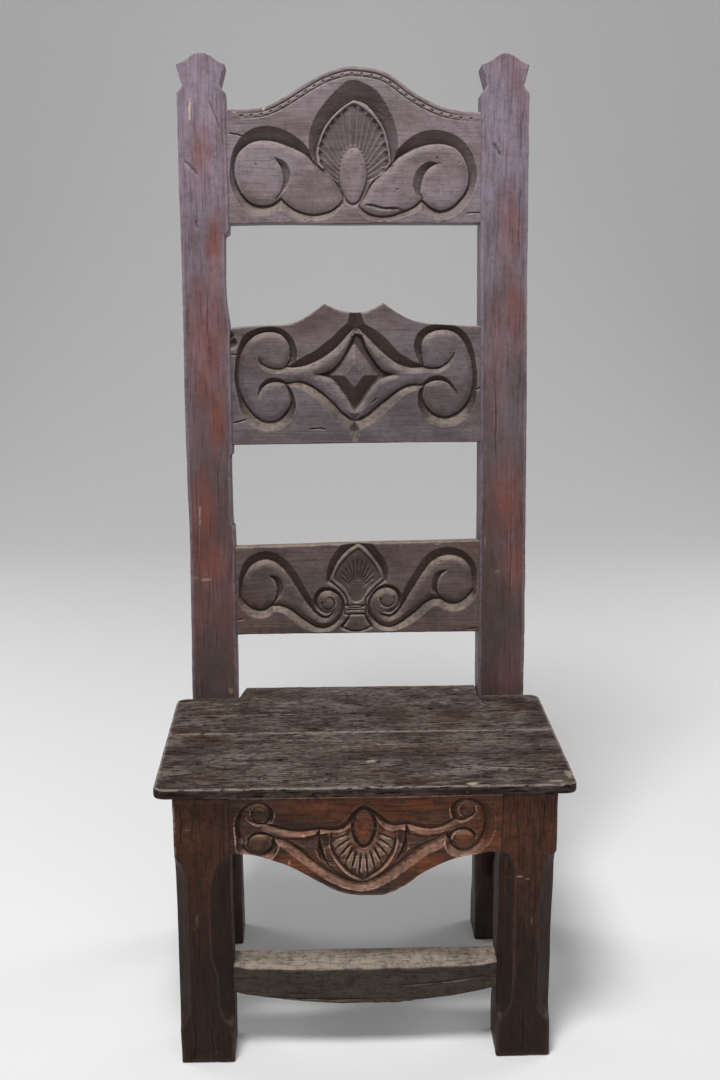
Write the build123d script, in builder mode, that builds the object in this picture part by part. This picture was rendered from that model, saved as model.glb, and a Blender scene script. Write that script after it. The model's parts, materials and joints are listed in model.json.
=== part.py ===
"""Carved high-backed oak chair, built as a joiner makes it.

Two front legs and two raked back posts carry the seat rails, the stretchers and three carved
back rails. Every rail is tenoned into its posts and drawbored with pegs, and the seat is two
boards, dowelled together and pegged down on the rails.

Units are millimetres. The origin is on the floor, in the middle of the chair's outer box:
+Z is up, the chair faces -Y, and "left" is -X, as seen from the front.
"""

import os
from math import cos, radians, sin, sqrt

from build123d import *

# ---------------------------------------------------------------- driving dimensions

# Seat
seat_height = 375
seat_width = 505
seat_depth = 301.5
seat_thickness = 17
seat_front_overhang = 11.5
seat_side_overhang = 22
seat_corner_radius = 15
seat_nosing_radius = 6
front_board_depth = 172
tongue_side_gap = 1.5

# Front legs
leg_width = 66
leg_depth = 64
leg_front_chamfer = 16
leg_rear_chamfer = 9
foot_block_height = 45
chamfer_top_run = 32
chamfer_foot_run = 42

# Back posts
post_width = 64
post_depth = 42
post_outset = 2
post_length = 870
post_lean = 7.3
rear_foot_depth = 58
rear_foot_forward = 14
rear_leg_chamfer = 9

# Finials on the posts
finial_height = 51
finial_neck_rise = 10
finial_neck_inset = 7
finial_cap_height = 14.5

# Carved back rails: heights are measured along the leaning posts
back_rail_thickness = 26
back_rail_set_back = 3
crest_rail_below_finial = 22.3
crest_rail_end_height = 148
crest_rail_rise = 57
middle_rail_below_crest = 137.2
middle_rail_end_height = 158
middle_rail_cusp_rise = 32
middle_rail_valley_rise = 19.5
lower_rail_above_seat = 89.3
lower_rail_height = 126

# Seat rails
apron_thickness = 28
apron_set_back = 3
seat_rail_height = 75
apron_drop = 56.5
seat_rail_thickness = 24
side_rail_outer_inset = 11
rear_rail_set_back = 10

# Stretchers
front_stretcher_thickness = 37
front_stretcher_set_back = 16.5
front_stretcher_top = 126
front_stretcher_end_height = 37
front_stretcher_bow = 15
front_stretcher_wear_width = 14
front_stretcher_wear_drop = 5
side_stretcher_thickness = 27
side_stretcher_height = 38
side_stretcher_bottom = 96
side_stretcher_outer_inset = 11

# Tenons and their mortises
tenon_thickness = 10
tenon_length = 28
tenon_shoulder = 9
mortise_end_room = 2
mortise_side_room = 0.1

# Pegs and dowels
peg_diameter = 8
peg_room = 0.1
peg_from_shoulder = 15
stretcher_peg_from_shoulder = 22
back_peg_edge_distance = 32
back_peg_proud = 1.5
front_peg_length = 44
side_peg_past_tenon = 2
rear_peg_past_tenon = 4
dowel_diameter = 7
joint_dowel_length = 44
joint_dowel_spacing = 150
seat_dowel_into_board = 10
seat_dowel_into_rail = 28
seat_dowel_from_middle = 110

# Outlines from the end to the middle: (share of the half length, share of the rise)
finial_cap = ((0.68, 0.28), (0.43, 0.70), (0.2, 0.95))
crest_arch = ((0.72, 0.08), (0.57, 0.27), (0.445, 0.49), (0.267, 0.815))
middle_rail_shoulder = ((0.576, 0.14), (0.368, 0.56))
middle_rail_cusp_place = 0.237
apron_edge = ((0.91, 0.01), (0.77, 0.09), (0.656, 0.17), (0.49, 0.40), (0.334, 0.71), (0.18, 0.93))

# ---------------------------------------------------------------- derived places

lean = radians(post_lean)
seat_under = seat_height - seat_thickness
seat_half = seat_width / 2
seat_middle_z = seat_under + seat_thickness / 2
nosing_radius = min(seat_nosing_radius, 0.45 * seat_thickness)

leg_outer = seat_half - seat_side_overhang
leg_inner = leg_outer - leg_width
leg_middle = leg_outer - leg_width / 2
post_outer = leg_outer + post_outset
post_inner = post_outer - post_width
post_middle = post_outer - post_width / 2

# The chair's box runs from the seat's front edge to the back of the finials
overall_depth = seat_depth + post_length * sin(lean) + post_depth * cos(lean)
seat_front_y = -overall_depth / 2
leg_front_y = seat_front_y + seat_front_overhang
leg_back_y = leg_front_y + leg_depth
post_front_y = seat_front_y + seat_depth
board_joint_y = seat_front_y + front_board_depth
tongue_back_y = post_front_y + post_depth * cos(lean)
rear_foot_front_y = post_front_y - rear_foot_forward
rear_leg_slope = rear_foot_forward / seat_under

rail_bottom = seat_under - seat_rail_height
rail_middle_z = seat_under - seat_rail_height / 2
side_rail_x = leg_outer - side_rail_outer_inset - seat_rail_thickness / 2
rear_rail_middle_y = post_front_y + rear_rail_set_back + seat_rail_thickness / 2
apron_middle_y = leg_front_y + apron_set_back + apron_thickness / 2

front_stretcher_front_y = leg_front_y + front_stretcher_set_back
front_stretcher_middle_y = front_stretcher_front_y + front_stretcher_thickness / 2
front_stretcher_middle_z = front_stretcher_top - front_stretcher_end_height / 2
side_stretcher_x = leg_outer - side_stretcher_outer_inset - side_stretcher_thickness / 2
side_stretcher_middle_z = side_stretcher_bottom + side_stretcher_height / 2

peg_radius = peg_diameter / 2
peg_hole_radius = peg_radius + peg_room
dowel_radius = dowel_diameter / 2
dowel_hole_radius = dowel_radius + peg_room
mortise_depth = tenon_length + mortise_end_room
mortise_thickness = tenon_thickness + 2 * mortise_side_room

# The leaning front face of the posts: x across, y up along the posts, z out of the front
back_plane = Plane(
    origin=(0, post_front_y, seat_height), x_dir=(1, 0, 0), z_dir=(0, -cos(lean), sin(lean))
)
back_rail_front = back_plane.offset(-back_rail_set_back)
back_tenon_set_back = back_rail_set_back + (back_rail_thickness - tenon_thickness) / 2
back_tenon_front = back_plane.offset(-back_tenon_set_back)
back_mortise_front = back_plane.offset(mortise_side_room - back_tenon_set_back)

# The crest rail hangs below the finials, the middle rail below the crest rail, and the lower
# rail stands off the seat. Each has a bottom and an end height, along the posts.
finial_shoulder = post_length - finial_height
crest_rail_bottom = finial_shoulder - crest_rail_below_finial - crest_rail_end_height
middle_rail_bottom = crest_rail_bottom - middle_rail_below_crest - middle_rail_end_height
lower_rail_bottom = lower_rail_above_seat
back_rail_spans = {
    "crest_rail": (crest_rail_bottom, crest_rail_end_height),
    "middle_rail": (middle_rail_bottom, middle_rail_end_height),
    "lower_rail": (lower_rail_bottom, lower_rail_height),
}


def rear_leg_front_y(height):
    """Front face of the rear leg, which comes forward from the seat down to the floor."""
    return post_front_y - rear_leg_slope * (seat_under - height)


# Pegs on the right-hand side, and the holes that they share
back_peg_places = {
    rail: [
        (post_inner + peg_from_shoulder, bottom + back_peg_edge_distance),
        (post_inner + peg_from_shoulder, bottom + height - back_peg_edge_distance),
    ]
    for rail, (bottom, height) in back_rail_spans.items()
}
apron_peg_place = (leg_inner + peg_from_shoulder, rail_middle_z)
front_stretcher_peg_place = (leg_inner + stretcher_peg_from_shoulder, front_stretcher_middle_z)
rear_rail_peg_place = (post_inner + peg_from_shoulder, rail_middle_z)
rear_rail_peg_end_y = rear_rail_middle_y - tenon_thickness / 2 - rear_peg_past_tenon
side_rail_peg_end_x = side_rail_x - tenon_thickness / 2 - side_peg_past_tenon
side_stretcher_peg_end_x = side_stretcher_x - tenon_thickness / 2 - side_peg_past_tenon
leg_side_peg_y = leg_back_y - peg_from_shoulder
side_rail_rear_peg_y = rear_leg_front_y(rail_middle_z) + peg_from_shoulder
side_stretcher_rear_peg_y = rear_leg_front_y(side_stretcher_middle_z) + peg_from_shoulder


# Blind dowels that hold the seat boards down on the rails, and those between the boards
seat_dowel_top = seat_under + seat_dowel_into_board
seat_dowel_length = seat_dowel_into_board + seat_dowel_into_rail
seat_dowel_plane = Plane.XY.offset(seat_dowel_top)
apron_dowels = [(side * seat_dowel_from_middle, apron_middle_y) for side in (-1, 1)]
rear_rail_dowels = [(side * seat_dowel_from_middle, rear_rail_middle_y) for side in (-1, 1)]
front_side_dowels = [(side * side_rail_x, (leg_back_y + board_joint_y) / 2) for side in (-1, 1)]
rear_side_dowels = [(side * side_rail_x, (board_joint_y + post_front_y) / 2) for side in (-1, 1)]
joint_dowel_plane = Plane.XZ.offset(-(board_joint_y - joint_dowel_length / 2))
joint_dowels = [(step * joint_dowel_spacing, seat_middle_z) for step in (-1, 0, 1)]

# ---------------------------------------------------------------- shared cuts and outlines


def stopped_chamfer(foot_corner, out_x, out_y, chamfer, slope=0):
    """Cut a chamfer along an upright arris, curving out to a stop at the top and at the foot.

    foot_corner is the arris on the floor, out_x and out_y (+1 or -1) point out of the timber
    there, and slope is how far the arris goes back for each millimetre that it rises.
    """
    outward = Vector(out_x, out_y, -out_y * slope)
    along = Vector(0, slope, 1)
    depth = chamfer / sqrt(2)
    top = rail_bottom
    with BuildSketch(Plane((*foot_corner, 0), x_dir=outward, z_dir=outward.cross(along))) as waste:
        with BuildLine():
            upper = TangentArc((-depth, top - chamfer_top_run), (0, top), tangent=(0, 1))
            lower = TangentArc(
                (-depth, foot_block_height + chamfer_foot_run), (0, foot_block_height), tangent=(0, -1)
            )
            Line(upper @ 0, lower @ 0)
            Polyline(upper @ 1, (chamfer, top), (chamfer, foot_block_height), lower @ 1)
        make_face()
    extrude(waste.sketch, amount=2 * chamfer, both=True, mode=Mode.SUBTRACT)


def cut_mortise(plane, place, width, depth):
    """Cut a mortise for a tenon of this width, centred on a place of the plane."""
    opening = width + 2 * mortise_side_room
    with BuildSketch(plane) as mouth:
        with Locations(place):
            Rectangle(mortise_thickness, opening)
    extrude(mouth.sketch, amount=depth, mode=Mode.SUBTRACT)


def bore(plane, places, depth, radius=peg_hole_radius):
    """Bore round holes into the plane, against its normal."""
    with BuildSketch(plane) as holes:
        with Locations(*places):
            Circle(radius)
    extrude(holes.sketch, amount=-depth, mode=Mode.SUBTRACT)


def drive(plane, places, length, radius=peg_radius):
    """Make round pegs or dowels from the plane, against its normal."""
    with BuildSketch(plane) as ends:
        with Locations(*places):
            Circle(radius)
    extrude(ends.sketch, amount=-length)


def both_sides(places):
    """The given places and their mirror images on the left."""
    return list(places) + [(-x, height) for x, height in places]


def export(block, name):
    """Label a finished piece and write its STEP file."""
    block.part.label = name
    export_step(block.part, f"parts/{name}.step")


def export_pair(right, name):
    """Write a right-hand piece and its mirror image."""
    with BuildPart() as left:
        add(mirror(right.part, about=Plane.YZ))
    export(left, f"{name}_left")
    export(right, f"{name}_right")


os.makedirs("parts", exist_ok=True)

# ---------------------------------------------------------------- front legs

with BuildPart() as front_leg:
    with BuildSketch():
        with Locations((leg_middle, leg_front_y + leg_depth / 2)):
            Rectangle(leg_width, leg_depth)
    extrude(amount=seat_under)
    for arris_x, out_x in ((leg_inner, -1), (leg_outer, 1)):
        stopped_chamfer((arris_x, leg_front_y), out_x, -1, leg_front_chamfer)
        stopped_chamfer((arris_x, leg_back_y), out_x, 1, leg_rear_chamfer)
    # Mortises from the inner face for the apron and the front stretcher
    cut_mortise(
        Plane.YZ.offset(leg_inner),
        (apron_middle_y, rail_middle_z),
        seat_rail_height - 2 * tenon_shoulder,
        mortise_depth,
    )
    cut_mortise(
        Plane.YZ.offset(leg_inner),
        (front_stretcher_middle_y, front_stretcher_middle_z),
        front_stretcher_end_height - 2 * tenon_shoulder,
        mortise_depth,
    )
    # Mortises from the rear face for the side rail and the side stretcher
    cut_mortise(
        Plane.XZ.offset(-leg_back_y),
        (side_rail_x, rail_middle_z),
        seat_rail_height - 2 * tenon_shoulder,
        mortise_depth,
    )
    cut_mortise(
        Plane.XZ.offset(-leg_back_y),
        (side_stretcher_x, side_stretcher_middle_z),
        side_stretcher_height - 2 * tenon_shoulder,
        mortise_depth,
    )
    bore(Plane.XZ.offset(-leg_front_y), [apron_peg_place, front_stretcher_peg_place], front_peg_length)
    leg_outer_face = Plane.YZ.offset(leg_outer)
    bore(leg_outer_face, [(leg_side_peg_y, rail_middle_z)], leg_outer - side_rail_peg_end_x)
    bore(
        leg_outer_face,
        [(leg_side_peg_y, side_stretcher_middle_z)],
        leg_outer - side_stretcher_peg_end_x,
    )
export_pair(front_leg, "front_leg")

# ---------------------------------------------------------------- back posts

post_top = back_plane.from_local_coords(Vector(0, post_length, 0))
post_top_back = back_plane.from_local_coords(Vector(0, post_length, -post_depth))
post_knee = back_plane.from_local_coords(Vector(0, 0, -post_depth))
finial_neck = finial_shoulder + finial_neck_rise
finial_ear = post_length - finial_cap_height
post_half = post_width / 2

with BuildPart() as back_post:
    # The raked post is sawn from a wide plank
    with BuildSketch(Plane.YZ.offset(post_inner)):
        Polygon(
            (rear_foot_front_y, 0),
            (post_front_y, seat_under),
            (post_front_y, seat_height),
            (post_top.Y, post_top.Z),
            (post_top_back.Y, post_top_back.Z),
            (post_knee.Y, post_knee.Z),
            (rear_foot_front_y + rear_foot_depth, 0),
            align=None,
        )
    extrude(amount=post_width)
    # The finial: a coved neck, sharp ears and an ogee cap
    with BuildSketch(back_plane.offset(post_depth)):
        with BuildLine():
            neck = (post_middle + post_half - finial_neck_inset, finial_neck)
            cove = TangentArc(neck, (post_outer, finial_shoulder), tangent=(0, -1))
            flare = TangentArc(neck, (post_outer, finial_ear), tangent=(0, 1))
            Spline(
                flare @ 1,
                *[
                    (post_middle + share * post_half, finial_ear + rise * finial_cap_height)
                    for share, rise in finial_cap
                ],
                (post_middle, post_length),
                tangents=((-1, 0.2), (-1, 0)),
            )
            Polyline(cove @ 1, (post_outer, -2 * seat_height), (post_middle, -2 * seat_height))
            mirror(about=Plane.YZ.offset(post_middle))
        make_face()
    extrude(amount=-4 * post_depth - rear_foot_depth - seat_height, mode=Mode.INTERSECT)
    rear_foot_back_y = rear_foot_front_y + rear_foot_depth
    back_slope = (post_knee.Y - rear_foot_back_y) / post_knee.Z
    for arris_x, out_x in ((post_inner, -1), (post_outer, 1)):
        stopped_chamfer((arris_x, rear_foot_front_y), out_x, -1, rear_leg_chamfer, rear_leg_slope)
        stopped_chamfer((arris_x, rear_foot_back_y), out_x, 1, rear_leg_chamfer, back_slope)
    # Mortises for the three back rails
    for rail_name, (bottom, height) in back_rail_spans.items():
        with BuildSketch(back_mortise_front) as mouth:
            with Locations((post_inner + mortise_depth / 2, bottom + height / 2)):
                Rectangle(mortise_depth, height - 2 * tenon_shoulder + 2 * mortise_side_room)
        extrude(amount=-mortise_thickness, mode=Mode.SUBTRACT)
        bore(back_plane, back_peg_places[rail_name], 2 * post_depth)
    # Mortise from the inner face for the rear rail
    cut_mortise(
        Plane.YZ.offset(post_inner),
        (rear_rail_middle_y, rail_middle_z),
        seat_rail_height - 2 * tenon_shoulder,
        mortise_depth,
    )
    # Mortises from the front face for the side rail and the side stretcher
    in_front = Plane.XZ.offset(-rear_foot_front_y)
    cut_mortise(
        in_front,
        (side_rail_x, rail_middle_z),
        seat_rail_height - 2 * tenon_shoulder,
        rear_foot_front_y - rear_leg_front_y(rail_middle_z) - mortise_depth,
    )
    cut_mortise(
        in_front,
        (side_stretcher_x, side_stretcher_middle_z),
        side_stretcher_height - 2 * tenon_shoulder,
        rear_foot_front_y - rear_leg_front_y(side_stretcher_middle_z) - mortise_depth,
    )
    # Peg holes for the rear rail, from behind, and for the side pieces, from the outer face
    bore(
        Plane.XZ.offset(-rear_rail_peg_end_y),
        [rear_rail_peg_place],
        rear_foot_depth,
    )
    post_outer_face = Plane.YZ.offset(post_outer)
    bore(post_outer_face, [(side_rail_rear_peg_y, rail_middle_z)], post_outer - side_rail_peg_end_x)
    bore(
        post_outer_face,
        [(side_stretcher_rear_peg_y, side_stretcher_middle_z)],
        post_outer - side_stretcher_peg_end_x,
    )
export_pair(back_post, "back_post")

# ---------------------------------------------------------------- carved back rails


def tenon_and_bore_back_rail(name):
    """Run a tenon through to both ends of a back rail and bore it for its pegs."""
    bottom, height = back_rail_spans[name]
    with BuildSketch(back_tenon_front) as tenon:
        with Locations((0, bottom + height / 2)):
            Rectangle(2 * (post_inner + tenon_length), height - 2 * tenon_shoulder)
    extrude(tenon.sketch, amount=-tenon_thickness)
    bore(back_plane, both_sides(back_peg_places[name]), 2 * post_depth)


with BuildPart() as crest_rail:
    crest_end = crest_rail_bottom + crest_rail_end_height
    with BuildSketch(back_rail_front):
        with BuildLine():
            Polyline((0, crest_rail_bottom), (post_inner, crest_rail_bottom), (post_inner, crest_end))
            Spline(
                (post_inner, crest_end),
                *[(share * post_inner, crest_end + rise * crest_rail_rise) for share, rise in crest_arch],
                (0, crest_end + crest_rail_rise),
                tangents=((-1, 0), (-1, 0)),
            )
            mirror(about=Plane.YZ)
        make_face()
    extrude(amount=-back_rail_thickness)
    tenon_and_bore_back_rail("crest_rail")
export(crest_rail, "crest_rail")

with BuildPart() as middle_rail:
    middle_end = middle_rail_bottom + middle_rail_end_height
    cusp_x = middle_rail_cusp_place * post_inner
    with BuildSketch(back_rail_front):
        with BuildLine():
            Polyline(
                (0, middle_rail_bottom), (post_inner, middle_rail_bottom), (post_inner, middle_end)
            )
            Spline(
                (post_inner, middle_end),
                *[
                    (share * post_inner, middle_end + rise * middle_rail_cusp_rise)
                    for share, rise in middle_rail_shoulder
                ],
                (cusp_x, middle_end + middle_rail_cusp_rise),
                tangents=((-1, 0), (-1, 0.75)),
            )
            TangentArc(
                (0, middle_end + middle_rail_valley_rise),
                (cusp_x, middle_end + middle_rail_cusp_rise),
                tangent=(1, 0),
            )
            mirror(about=Plane.YZ)
        make_face()
    extrude(amount=-back_rail_thickness)
    tenon_and_bore_back_rail("middle_rail")
export(middle_rail, "middle_rail")

with BuildPart() as lower_rail:
    with BuildSketch(back_rail_front):
        with Locations((0, lower_rail_bottom + lower_rail_height / 2)):
            Rectangle(2 * post_inner, lower_rail_height)
    extrude(amount=-back_rail_thickness)
    tenon_and_bore_back_rail("lower_rail")
export(lower_rail, "lower_rail")

# ---------------------------------------------------------------- seat rails

with BuildPart() as front_apron:
    with BuildSketch(Plane.XZ.offset(-(leg_front_y + apron_set_back))):
        with BuildLine():
            Polyline((0, seat_under), (leg_inner, seat_under), (leg_inner, rail_bottom))
            Spline(
                (leg_inner, rail_bottom),
                *[(share * leg_inner, rail_bottom - drop * apron_drop) for share, drop in apron_edge],
                (0, rail_bottom - apron_drop),
                tangents=((-1, 0), (-1, 0)),
            )
            mirror(about=Plane.YZ)
        make_face()
    extrude(amount=-apron_thickness)
    with BuildSketch(Plane.XZ.offset(tenon_thickness / 2 - apron_middle_y)):
        with Locations((0, rail_middle_z)):
            Rectangle(2 * (leg_inner + tenon_length), seat_rail_height - 2 * tenon_shoulder)
    extrude(amount=-tenon_thickness)
    bore(Plane.XZ.offset(-leg_front_y), both_sides([apron_peg_place]), front_peg_length)
    bore(seat_dowel_plane, apron_dowels, seat_dowel_length, dowel_hole_radius)
export(front_apron, "front_apron")

with BuildPart() as side_rail:
    with BuildSketch(Plane.YZ.offset(side_rail_x - seat_rail_thickness / 2)):
        Polygon(
            (leg_back_y, rail_bottom),
            (rear_leg_front_y(rail_bottom), rail_bottom),
            (rear_leg_front_y(seat_under), seat_under),
            (leg_back_y, seat_under),
            align=None,
        )
    extrude(amount=seat_rail_thickness)
    side_rail_tenon_ends = (leg_back_y - tenon_length, rear_leg_front_y(rail_middle_z) + tenon_length)
    with BuildSketch(Plane.YZ.offset(side_rail_x - tenon_thickness / 2)):
        with Locations((sum(side_rail_tenon_ends) / 2, rail_middle_z)):
            Rectangle(
                side_rail_tenon_ends[1] - side_rail_tenon_ends[0],
                seat_rail_height - 2 * tenon_shoulder,
            )
    extrude(amount=tenon_thickness)
    bore(
        Plane.YZ.offset(post_outer),
        [(leg_side_peg_y, rail_middle_z), (side_rail_rear_peg_y, rail_middle_z)],
        post_width,
    )
    right_side_dowels = [front_side_dowels[1], rear_side_dowels[1]]
    bore(seat_dowel_plane, right_side_dowels, seat_dowel_length, dowel_hole_radius)
export_pair(side_rail, "side_rail")

with BuildPart() as rear_rail:
    with BuildSketch(Plane.XZ.offset(seat_rail_thickness / 2 - rear_rail_middle_y)):
        with Locations((0, rail_middle_z)):
            Rectangle(2 * post_inner, seat_rail_height)
    extrude(amount=-seat_rail_thickness)
    with BuildSketch(Plane.XZ.offset(tenon_thickness / 2 - rear_rail_middle_y)):
        with Locations((0, rail_middle_z)):
            Rectangle(2 * (post_inner + tenon_length), seat_rail_height - 2 * tenon_shoulder)
    extrude(amount=-tenon_thickness)
    bore(Plane.XZ.offset(-rear_rail_peg_end_y), both_sides([rear_rail_peg_place]), rear_foot_depth)
    bore(seat_dowel_plane, rear_rail_dowels, seat_dowel_length, dowel_hole_radius)
export(rear_rail, "rear_rail")

# ---------------------------------------------------------------- stretchers

with BuildPart() as front_stretcher:
    stretcher_end_bottom = front_stretcher_top - front_stretcher_end_height
    with BuildSketch(Plane.XZ.offset(-front_stretcher_front_y)):
        with BuildLine():
            ThreePointArc(
                (-leg_inner, stretcher_end_bottom),
                (0, stretcher_end_bottom - front_stretcher_bow),
                (leg_inner, stretcher_end_bottom),
            )
            Polyline(
                (leg_inner, stretcher_end_bottom),
                (leg_inner, front_stretcher_top),
                (-leg_inner, front_stretcher_top),
                (-leg_inner, stretcher_end_bottom),
            )
        make_face()
    extrude(amount=-front_stretcher_thickness)
    # The front top edge is worn down by feet
    with BuildSketch(Plane.YZ.offset(-leg_inner)):
        Polygon(
            (front_stretcher_front_y, front_stretcher_top),
            (front_stretcher_front_y + front_stretcher_wear_width, front_stretcher_top),
            (front_stretcher_front_y, front_stretcher_top - front_stretcher_wear_drop),
            align=None,
        )
    extrude(amount=2 * leg_inner, mode=Mode.SUBTRACT)
    with BuildSketch(Plane.XZ.offset(tenon_thickness / 2 - front_stretcher_middle_y)):
        with Locations((0, front_stretcher_middle_z)):
            Rectangle(2 * (leg_inner + tenon_length), front_stretcher_end_height - 2 * tenon_shoulder)
    extrude(amount=-tenon_thickness)
    bore(Plane.XZ.offset(-leg_front_y), both_sides([front_stretcher_peg_place]), front_peg_length)
export(front_stretcher, "front_stretcher")

with BuildPart() as side_stretcher:
    side_stretcher_top = side_stretcher_bottom + side_stretcher_height
    with BuildSketch(Plane.YZ.offset(side_stretcher_x - side_stretcher_thickness / 2)):
        Polygon(
            (leg_back_y, side_stretcher_bottom),
            (rear_leg_front_y(side_stretcher_bottom), side_stretcher_bottom),
            (rear_leg_front_y(side_stretcher_top), side_stretcher_top),
            (leg_back_y, side_stretcher_top),
            align=None,
        )
    extrude(amount=side_stretcher_thickness)
    side_stretcher_tenon_ends = (
        leg_back_y - tenon_length,
        rear_leg_front_y(side_stretcher_middle_z) + tenon_length,
    )
    with BuildSketch(Plane.YZ.offset(side_stretcher_x - tenon_thickness / 2)):
        with Locations((sum(side_stretcher_tenon_ends) / 2, side_stretcher_middle_z)):
            Rectangle(
                side_stretcher_tenon_ends[1] - side_stretcher_tenon_ends[0],
                side_stretcher_height - 2 * tenon_shoulder,
            )
    extrude(amount=tenon_thickness)
    bore(
        Plane.YZ.offset(post_outer),
        [
            (leg_side_peg_y, side_stretcher_middle_z),
            (side_stretcher_rear_peg_y, side_stretcher_middle_z),
        ],
        post_width,
    )
export_pair(side_stretcher, "side_stretcher")

# ---------------------------------------------------------------- seat boards


with BuildPart() as seat_board_front:
    with BuildSketch(Plane.XY.offset(seat_under)) as outline:
        with Locations((0, (seat_front_y + board_joint_y) / 2)):
            Rectangle(seat_width, front_board_depth)
        fillet(outline.vertices().group_by(Axis.Y)[0], radius=seat_corner_radius)
    extrude(amount=seat_thickness)
    flat_faces = seat_board_front.faces().filter_by(Axis.Z)
    fillet(
        flat_faces.edges().filter_by(lambda edge: edge.center().Y < board_joint_y - 1),
        radius=nosing_radius,
    )
    bore(seat_dowel_plane, apron_dowels + front_side_dowels, seat_dowel_length, dowel_hole_radius)
    bore(joint_dowel_plane, joint_dowels, joint_dowel_length, dowel_hole_radius)
export(seat_board_front, "seat_board_front")

with BuildPart() as seat_board_rear:
    with BuildSketch(Plane.XY.offset(seat_under)):
        with Locations((0, (board_joint_y + post_front_y) / 2)):
            Rectangle(seat_width, post_front_y - board_joint_y)
        with Locations((0, (board_joint_y + tongue_back_y) / 2)):
            Rectangle(2 * (post_inner - tongue_side_gap), tongue_back_y - board_joint_y)
    extrude(amount=seat_thickness)
    flat_faces = seat_board_rear.faces().filter_by(Axis.Z)
    fillet(
        flat_faces.edges().filter_by(lambda edge: abs(edge.center().X) > seat_half - 1),
        radius=nosing_radius,
    )
    bore(seat_dowel_plane, rear_rail_dowels + rear_side_dowels, seat_dowel_length, dowel_hole_radius)
    bore(joint_dowel_plane, joint_dowels, joint_dowel_length, dowel_hole_radius)
export(seat_board_rear, "seat_board_rear")

# ---------------------------------------------------------------- pegs and dowels

for rail_name, places in back_peg_places.items():
    with BuildPart() as back_pegs:
        drive(back_plane, both_sides(places), post_depth + back_peg_proud)
    export(back_pegs, f"{rail_name}_pegs")

with BuildPart() as apron_pegs:
    drive(Plane.XZ.offset(-leg_front_y), both_sides([apron_peg_place]), front_peg_length)
export(apron_pegs, "apron_pegs")

with BuildPart() as front_stretcher_pegs:
    drive(Plane.XZ.offset(-leg_front_y), both_sides([front_stretcher_peg_place]), front_peg_length)
export(front_stretcher_pegs, "front_stretcher_pegs")

with BuildPart() as rear_rail_pegs:
    rear_peg_back_y = rear_foot_front_y + rear_foot_depth
    drive(
        Plane.XZ.offset(-rear_rail_peg_end_y),
        both_sides([rear_rail_peg_place]),
        rear_peg_back_y - rear_rail_peg_end_y,
    )
export(rear_rail_pegs, "rear_rail_pegs")

for name, z, rear_y, end_x in (
    ("side_rail", rail_middle_z, side_rail_rear_peg_y, side_rail_peg_end_x),
    ("side_stretcher", side_stretcher_middle_z, side_stretcher_rear_peg_y, side_stretcher_peg_end_x),
):
    with BuildPart() as side_pegs:
        drive(Plane.YZ.offset(leg_outer), [(leg_side_peg_y, z)], leg_outer - end_x)
        drive(Plane.YZ.offset(post_outer), [(rear_y, z)], post_outer - end_x)
        mirror(about=Plane.YZ)
    export(side_pegs, f"{name}_pegs")

with BuildPart() as seat_rail_dowels:
    drive(
        seat_dowel_plane,
        apron_dowels + rear_rail_dowels + front_side_dowels + rear_side_dowels,
        seat_dowel_length,
        dowel_radius,
    )
export(seat_rail_dowels, "seat_rail_dowels")

with BuildPart() as seat_joint_dowels:
    drive(joint_dowel_plane, joint_dowels, joint_dowel_length, dowel_radius)
export(seat_joint_dowels, "seat_joint_dowels")
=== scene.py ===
"""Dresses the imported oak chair: carved back rails and apron, hewn posts, legs and boards, old oak.

Sizes and places are in millimetres and are scaled to metres as each mesh is made. x runs across
the chair, v up a carved face from its lower edge, and depth into the timber from its front face.
"""

import json
from functools import partial
from itertools import product
from math import cos, radians, sin

import bpy
import numpy as np
from mathutils import Euler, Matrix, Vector

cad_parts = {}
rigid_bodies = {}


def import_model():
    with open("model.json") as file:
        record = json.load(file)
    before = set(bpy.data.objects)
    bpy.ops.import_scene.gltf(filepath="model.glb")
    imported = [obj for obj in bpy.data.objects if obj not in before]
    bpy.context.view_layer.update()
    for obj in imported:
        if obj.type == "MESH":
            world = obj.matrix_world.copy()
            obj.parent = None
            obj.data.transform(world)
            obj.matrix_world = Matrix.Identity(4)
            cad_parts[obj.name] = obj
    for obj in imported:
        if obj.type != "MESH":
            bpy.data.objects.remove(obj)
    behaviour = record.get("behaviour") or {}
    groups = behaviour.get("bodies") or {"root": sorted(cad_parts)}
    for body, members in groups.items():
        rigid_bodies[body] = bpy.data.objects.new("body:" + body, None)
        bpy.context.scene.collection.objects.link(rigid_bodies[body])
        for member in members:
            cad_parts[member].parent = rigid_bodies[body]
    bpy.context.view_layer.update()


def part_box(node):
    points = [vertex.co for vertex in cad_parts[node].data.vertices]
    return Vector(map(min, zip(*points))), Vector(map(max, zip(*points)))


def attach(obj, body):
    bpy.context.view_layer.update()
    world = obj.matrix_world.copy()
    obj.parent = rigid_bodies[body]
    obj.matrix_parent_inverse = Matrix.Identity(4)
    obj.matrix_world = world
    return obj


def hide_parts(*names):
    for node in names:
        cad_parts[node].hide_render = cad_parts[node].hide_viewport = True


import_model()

MM = 0.001
ROOT = "root"

# ---------------------------------------------------------------- the chair's sizes and faces

LEAN = radians(7.3)
UP = np.array((0, sin(LEAN), cos(LEAN)))
INTO = np.array((0, cos(LEAN), -sin(LEAN)))
RAIL_THICKNESS = 26
POST_DEPTH = 42
REAR_FOOT_DEPTH = 58
TONGUE_HALF = 167


def corners(node):
    """The lowest and highest corner of a CAD node, in millimetres."""
    low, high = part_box(node)
    return np.array(low) / MM, np.array(high) / MM


post_low, post_high = corners("back_post_right")
leg_low, leg_high = corners("front_leg_right")
front_board_low, front_board_high = corners("seat_board_front")
rear_board_low, rear_board_high = corners("seat_board_rear")
apron_low, apron_high = corners("front_apron")

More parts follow.
